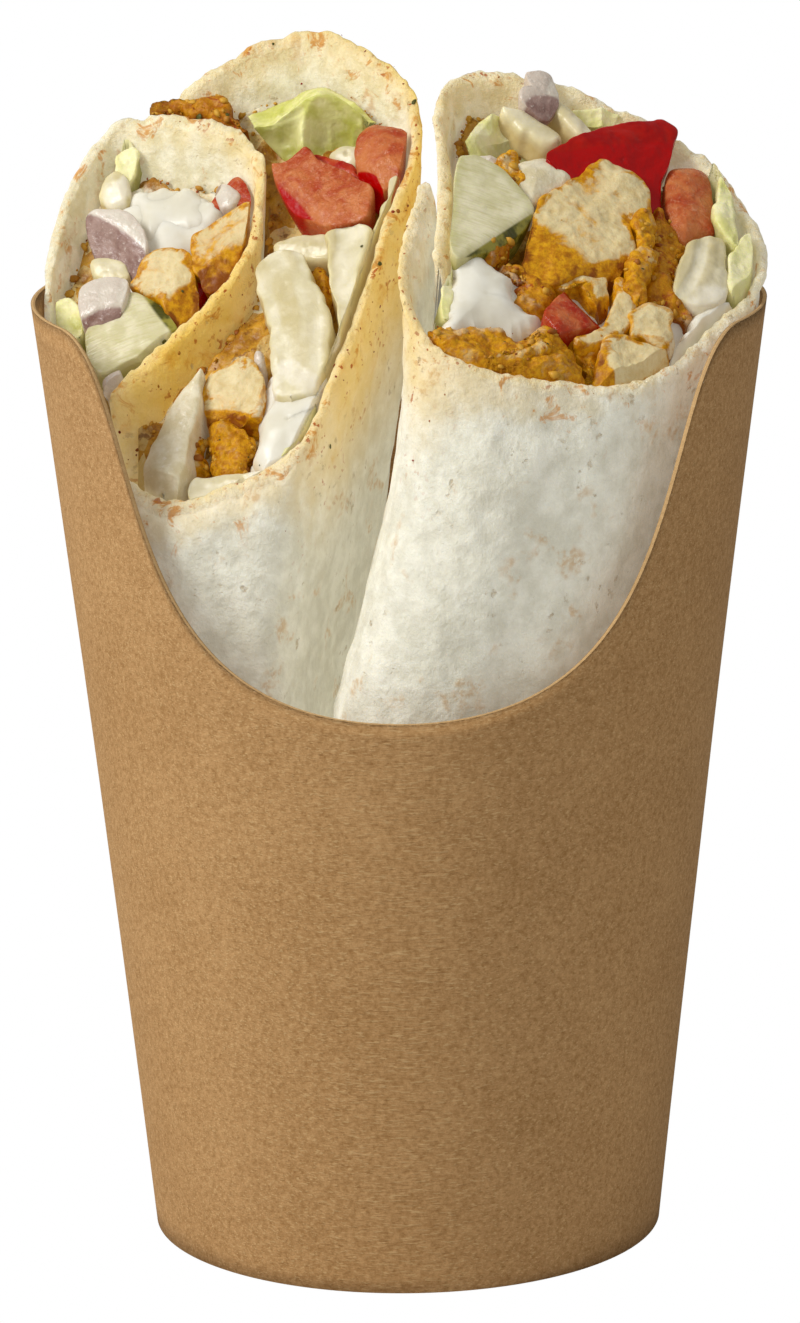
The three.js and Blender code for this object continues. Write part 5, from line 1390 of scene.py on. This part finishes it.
def leaf(name, half, ripple, tone, rims, seed):
    """A thin leaf: a tent over three splines, creased by folded noise, with two faces that close."""
    along, across = 90, 46
    at = np.linspace(0, len(rims[0]) - 1, along)
    curves = []
    for rim in rims:
        flat = np.array(rim, float)
        place, _ = smooth_path(flat, at)
        curves.append(on_cut(half, place[:, 0], place[:, 1], place[:, 2]))
    b = np.linspace(0, 1, across)[None, :, None]
    p, q, r = (c[:, None, :] for c in curves)
    off = np.sqrt((2 * b - 1) ** 2 + 0.004)
    crest = 0.75 * np.maximum(0, 1 - off)
    first, last = (1 - crest) * (1 - b), (1 - crest) * b
    face = p * first + q * crest + r * last
    creases = [1 - 2 * np.abs(noise(face, size, seed + 40 + k)) for k, size in enumerate((7.5, 3.4, 1.3))]
    wave = ripple * (1.3 * creases[0] + 0.5 * creases[1] + 0.12 * creases[2] - 0.8)
    body = face + wave[..., None] * half["n"]
    ends = np.minimum(1, np.minimum(np.arange(along), along - 1 - np.arange(along)) / 3)[:, None]
    sides = np.minimum(1, np.minimum(np.arange(across), across - 1 - np.arange(across)) / 2)[None, :]
    depth = (LEAF_THICKNESS / 2 * np.sqrt(ends * sides))[..., None] * half["n"]
    grid = np.concatenate([body + depth, (body - depth)[:, ::-1]], 1)
    # Painted shade: the low parts of the folds on the front half, under the crest, get a side value that the
    # lettuce finish paints dark olive.
    low = np.clip(0.5 - wave / ripple / 2, 0, 1) * (b[..., 0] > 0.5) * 0.6
    fields = {"tone": tone, "grain": 0.5, "side": np.concatenate([low, low[:, ::-1]], 1)}
    return closed_piece(name + "_look", grid, fields, "lettuce", [name])


# ---- Settings ------------------------------------------------------------------------


class WrapCameraSettings(bpy.types.PropertyGroup):
    """Where the picture is taken from."""

    elevation: FloatProperty(name="Elevation", description="Height of the view above the horizon",
                             default=math.radians(13.562), subtype="ANGLE")
    roll: FloatProperty(name="Roll", description="Tilt of the picture", default=math.radians(-0.619),
                        subtype="ANGLE")
    distance: FloatProperty(name="Distance", description="From the camera to the point it looks at",
                            default=0.8, unit="LENGTH")
    lens: FloatProperty(name="Lens", description="Focal length for a 36 mm film side", default=174.2)
    aim: FloatVectorProperty(name="Aim", description="Point that the camera looks at",
                             default=(-0.000298, AXIS_Y / 1000, 0.07207), subtype="TRANSLATION")


class WrapStageSettings(bpy.types.PropertyGroup):
    """The floor and the lights."""

    floor_colour: FloatVectorProperty(name="Floor", description="Colour of the floor", subtype="COLOR",
                                      default=(0.7, 0.7, 0.7), min=0, max=1)
    sky: FloatProperty(name="Surround", description="Brightness of the surround", default=0.42)
    key: FloatProperty(name="Key light", description="Power of the main light", default=3.2)
    fill: FloatProperty(name="Fill light", description="Power of the side light", default=0.35)


class WrapShape:
    """What the operators share."""

    bl_options = {"REGISTER", "UNDO"}


class WRAP_OT_cup(WrapShape, bpy.types.Operator):
    """Build the board cup: its scooped wall and its base"""

    bl_idname = "wrap.cup"
    bl_label = "Scoop cup"

    def execute(self, context):
        cup_wall()
        cup_base()
        return {"FINISHED"}


class WRAP_OT_bread(WrapShape, bpy.types.Operator):
    """Roll the flatbread of both halves"""

    bl_idname = "wrap.bread"
    bl_label = "Flatbread"

    def execute(self, context):
        bread_sheet("tortilla_left_look", LEFT, LEFT_ROLL, 430, LEFT_FACES, "tortilla_left")
        bread_sheet("tortilla_right_look", RIGHT, RIGHT_ROLL, 400, RIGHT_FACES, "tortilla_right")
        return {"FINISHED"}


class WRAP_OT_filling(WrapShape, bpy.types.Operator):
    """Pack the filling below the loose pieces"""

    bl_idname = "wrap.filling"
    bl_label = "Packed filling"

    def execute(self, context):
        inset, creamy = FILLING_INSET, sauce_places()
        packed("filling_left_inner_look", LEFT, LEFT_ROLL, (-inset, 0.3, 9.3), (-inset, 14.6, 10.9),
               creamy, "filling_left_inner")
        packed("filling_left_outer_look", LEFT, LEFT_ROLL, (inset, 0.3, 8.6), (-inset, 16, 30.3),
               creamy, "filling_left_outer")
        packed("filling_right_look", RIGHT, RIGHT_ROLL, (inset, 0, 10.6), (inset, 20, 11.4),
               creamy, "filling_right")
        return {"FINISHED"}


class WRAP_OT_pieces(WrapShape, bpy.types.Operator):
    """Lay the loose pieces of chicken, vegetables and sauce in the cut faces"""

    bl_idname = "wrap.pieces"
    bl_label = "Loose pieces"

    def execute(self, context):
        loops, creamy = inner_edges(), sauce_places()
        for seed, item in enumerate(PIECES, 1):
            loose_piece(item, seed, loops, creamy, [item["name"]])
        for seed, item in enumerate(SCRAPS, SCRAP_SEED):
            loose_piece(item, seed, loops, creamy, [])
        return {"FINISHED"}


class WRAP_OT_leaves(WrapShape, bpy.types.Operator):
    """Tuck the lettuce leaves in at the back of each half"""

    bl_idname = "wrap.leaves"
    bl_label = "Lettuce leaves"

    def execute(self, context):
        for seed, (name, half, ripple, tone, rims) in enumerate(LEAVES, 1):
            leaf(name, half, ripple, tone, rims, seed)
        return {"FINISHED"}


class WRAP_OT_crumbs(WrapShape, bpy.types.Operator):
    """Scatter crumbs, spice and herbs over the pieces, the filling and the bread"""

    bl_idname = "wrap.crumbs"
    bl_label = "Crumbs and herbs"

    def execute(self, context):
        crumbs("chicken_crumbs", "spiced_chicken", [("torn", 0.35), ("filling", 0.12)],
               (0.15, 0.7), 0.7, (0.0, 0.5), 11)
        crumbs("spice_flakes", "spiced_chicken", [("torn", 0.3), ("pale", 0.015), ("filling", 0.1),
               ("sheet", 0.3), ("sauce", 0.008)], (0.06, 0.26), 0.4, (0.3, 0.85), 12)
        crumbs("herb_flakes", "packed_filling", [("torn", 0.03), ("pale", 0.004), ("sauce", 0.006),
               ("sheet", 0.02), ("cabbage", 0.004)], (0.15, 0.5), 0.25, (0.9, 1.0), 13)
        return {"FINISHED"}


# In metres: each lamp's place and width, what both face, how far the floor reaches, and how near
# and how far the camera sees.
KEY_PLACE, KEY_SIZE = (-0.44, -0.23, 0.49), 0.26
FILL_PLACE, FILL_SIZE = (0.45, -0.6, 0.4), 0.5
LAMP_AIM = (0, 0, 0.11)
FLOOR_REACH = 6
SIGHT = (0.05, 20)


def lamp(name, place, size, power):
    """A round soft light at a place, facing the top of the cup."""
    data = bpy.data.lights.new(name, "AREA")
    data.shape, data.size, data.energy = "DISK", size, power
    made = bpy.data.objects.new(name, data)
    made.location = place
    made.rotation_euler = (Vector(LAMP_AIM) - Vector(place)).to_track_quat("-Z", "Y").to_euler()
    bpy.context.scene.collection.objects.link(made)


def floor_paint(colour):
    """Plain white as the camera sees it, as in a cut-out picture, and matt for everything else."""
    paint = bpy.data.materials.new("pale_floor")
    paint.use_nodes = True
    tree = paint.node_tree
    shader, output = tree.nodes["Principled BSDF"], tree.nodes["Material Output"]
    shader.inputs["Base Color"].default_value = (*colour, 1)
    shader.inputs["Roughness"].default_value = 0.9
    white = tree.nodes.new("ShaderNodeEmission")
    rays, pick = tree.nodes.new("ShaderNodeLightPath"), tree.nodes.new("ShaderNodeMixShader")
    tree.links.new(rays.outputs["Is Camera Ray"], pick.inputs[0])
    tree.links.new(shader.outputs[0], pick.inputs[1])
    tree.links.new(white.outputs[0], pick.inputs[2])
    tree.links.new(pick.outputs[0], output.inputs[0])
    return paint


class WRAP_OT_stage(WrapShape, bpy.types.Operator):
    """Set the pale floor, the soft lights and the camera"""

    bl_idname = "wrap.stage"
    bl_label = "Stage"

    def execute(self, context):
        scene = context.scene
        stage, view = scene.wrap_stage, scene.wrap_camera
        scene.view_settings.view_transform = "Standard"
        world = bpy.data.worlds.new("studio")
        world.use_nodes = True
        world.node_tree.nodes["Background"].inputs[0].default_value = (1, 1, 1, 1)
        world.node_tree.nodes["Background"].inputs[1].default_value = stage.sky
        scene.world = world
        mesh = bpy.data.meshes.new("floor")
        corners = [(x * FLOOR_REACH, y * FLOOR_REACH, 0) for x, y in ((-1, -1), (1, -1), (1, 1), (-1, 1))]
        mesh.from_pydata(corners, [], [(0, 1, 2, 3)])
        floor = bpy.data.objects.new("floor", mesh)
        mesh.materials.append(floor_paint(stage.floor_colour))
        scene.collection.objects.link(floor)
        lamp("key", KEY_PLACE, KEY_SIZE, stage.key)
        lamp("fill", FILL_PLACE, FILL_SIZE, stage.fill)
        data = bpy.data.cameras.new("camera")
        data.lens = view.lens
        data.clip_start, data.clip_end = SIGHT
        camera = bpy.data.objects.new("camera", data)
        forward = Vector((0, math.cos(view.elevation), -math.sin(view.elevation)))
        level = Vector((1, 0, 0))
        up = Vector((0, math.sin(view.elevation), math.cos(view.elevation)))
        right = level * math.cos(view.roll) + up * math.sin(view.roll)
        over = up * math.cos(view.roll) - level * math.sin(view.roll)
        turn = Matrix((right, over, -forward)).transposed().to_4x4()
        camera.matrix_world = Matrix.Translation(Vector(view.aim) - forward * view.distance) @ turn
        scene.collection.objects.link(camera)
        scene.camera = camera
        return {"FINISHED"}


OPERATORS = (WRAP_OT_cup, WRAP_OT_bread, WRAP_OT_filling, WRAP_OT_pieces, WRAP_OT_leaves, WRAP_OT_crumbs,
             WRAP_OT_stage)


class WRAP_PT_panel(bpy.types.Panel):
    """The wrap's builders and settings in the 3D view's sidebar"""

    bl_idname = "WRAP_PT_panel"
    bl_label = "Shawarma wrap"
    bl_space_type = "VIEW_3D"
    bl_region_type = "UI"
    bl_category = "Wrap"

    def draw(self, context):
        for made in OPERATORS:
            self.layout.operator(made.bl_idname)
        for group in (context.scene.wrap_camera, context.scene.wrap_stage):
            for key in group.bl_rna.properties.keys()[1:]:
                self.layout.prop(group, key)


CLASSES = (WrapCameraSettings, WrapStageSettings, *OPERATORS, WRAP_PT_panel)


def register():
    """Adds the classes and the scene's settings."""
    for made in CLASSES:
        bpy.utils.register_class(made)
    bpy.types.Scene.wrap_camera = PointerProperty(type=WrapCameraSettings)
    bpy.types.Scene.wrap_stage = PointerProperty(type=WrapStageSettings)


def unregister():
    """Takes them away again."""
    del bpy.types.Scene.wrap_camera
    del bpy.types.Scene.wrap_stage
    for made in reversed(CLASSES):
        bpy.utils.unregister_class(made)


def main():
    register()
    bpy.ops.wrap.cup()
    bpy.ops.wrap.bread()
    bpy.ops.wrap.filling()
    bpy.ops.wrap.pieces()
    bpy.ops.wrap.leaves()
    bpy.ops.wrap.crumbs()
    bpy.ops.wrap.stage()


if __name__ == "__main__":
    main()
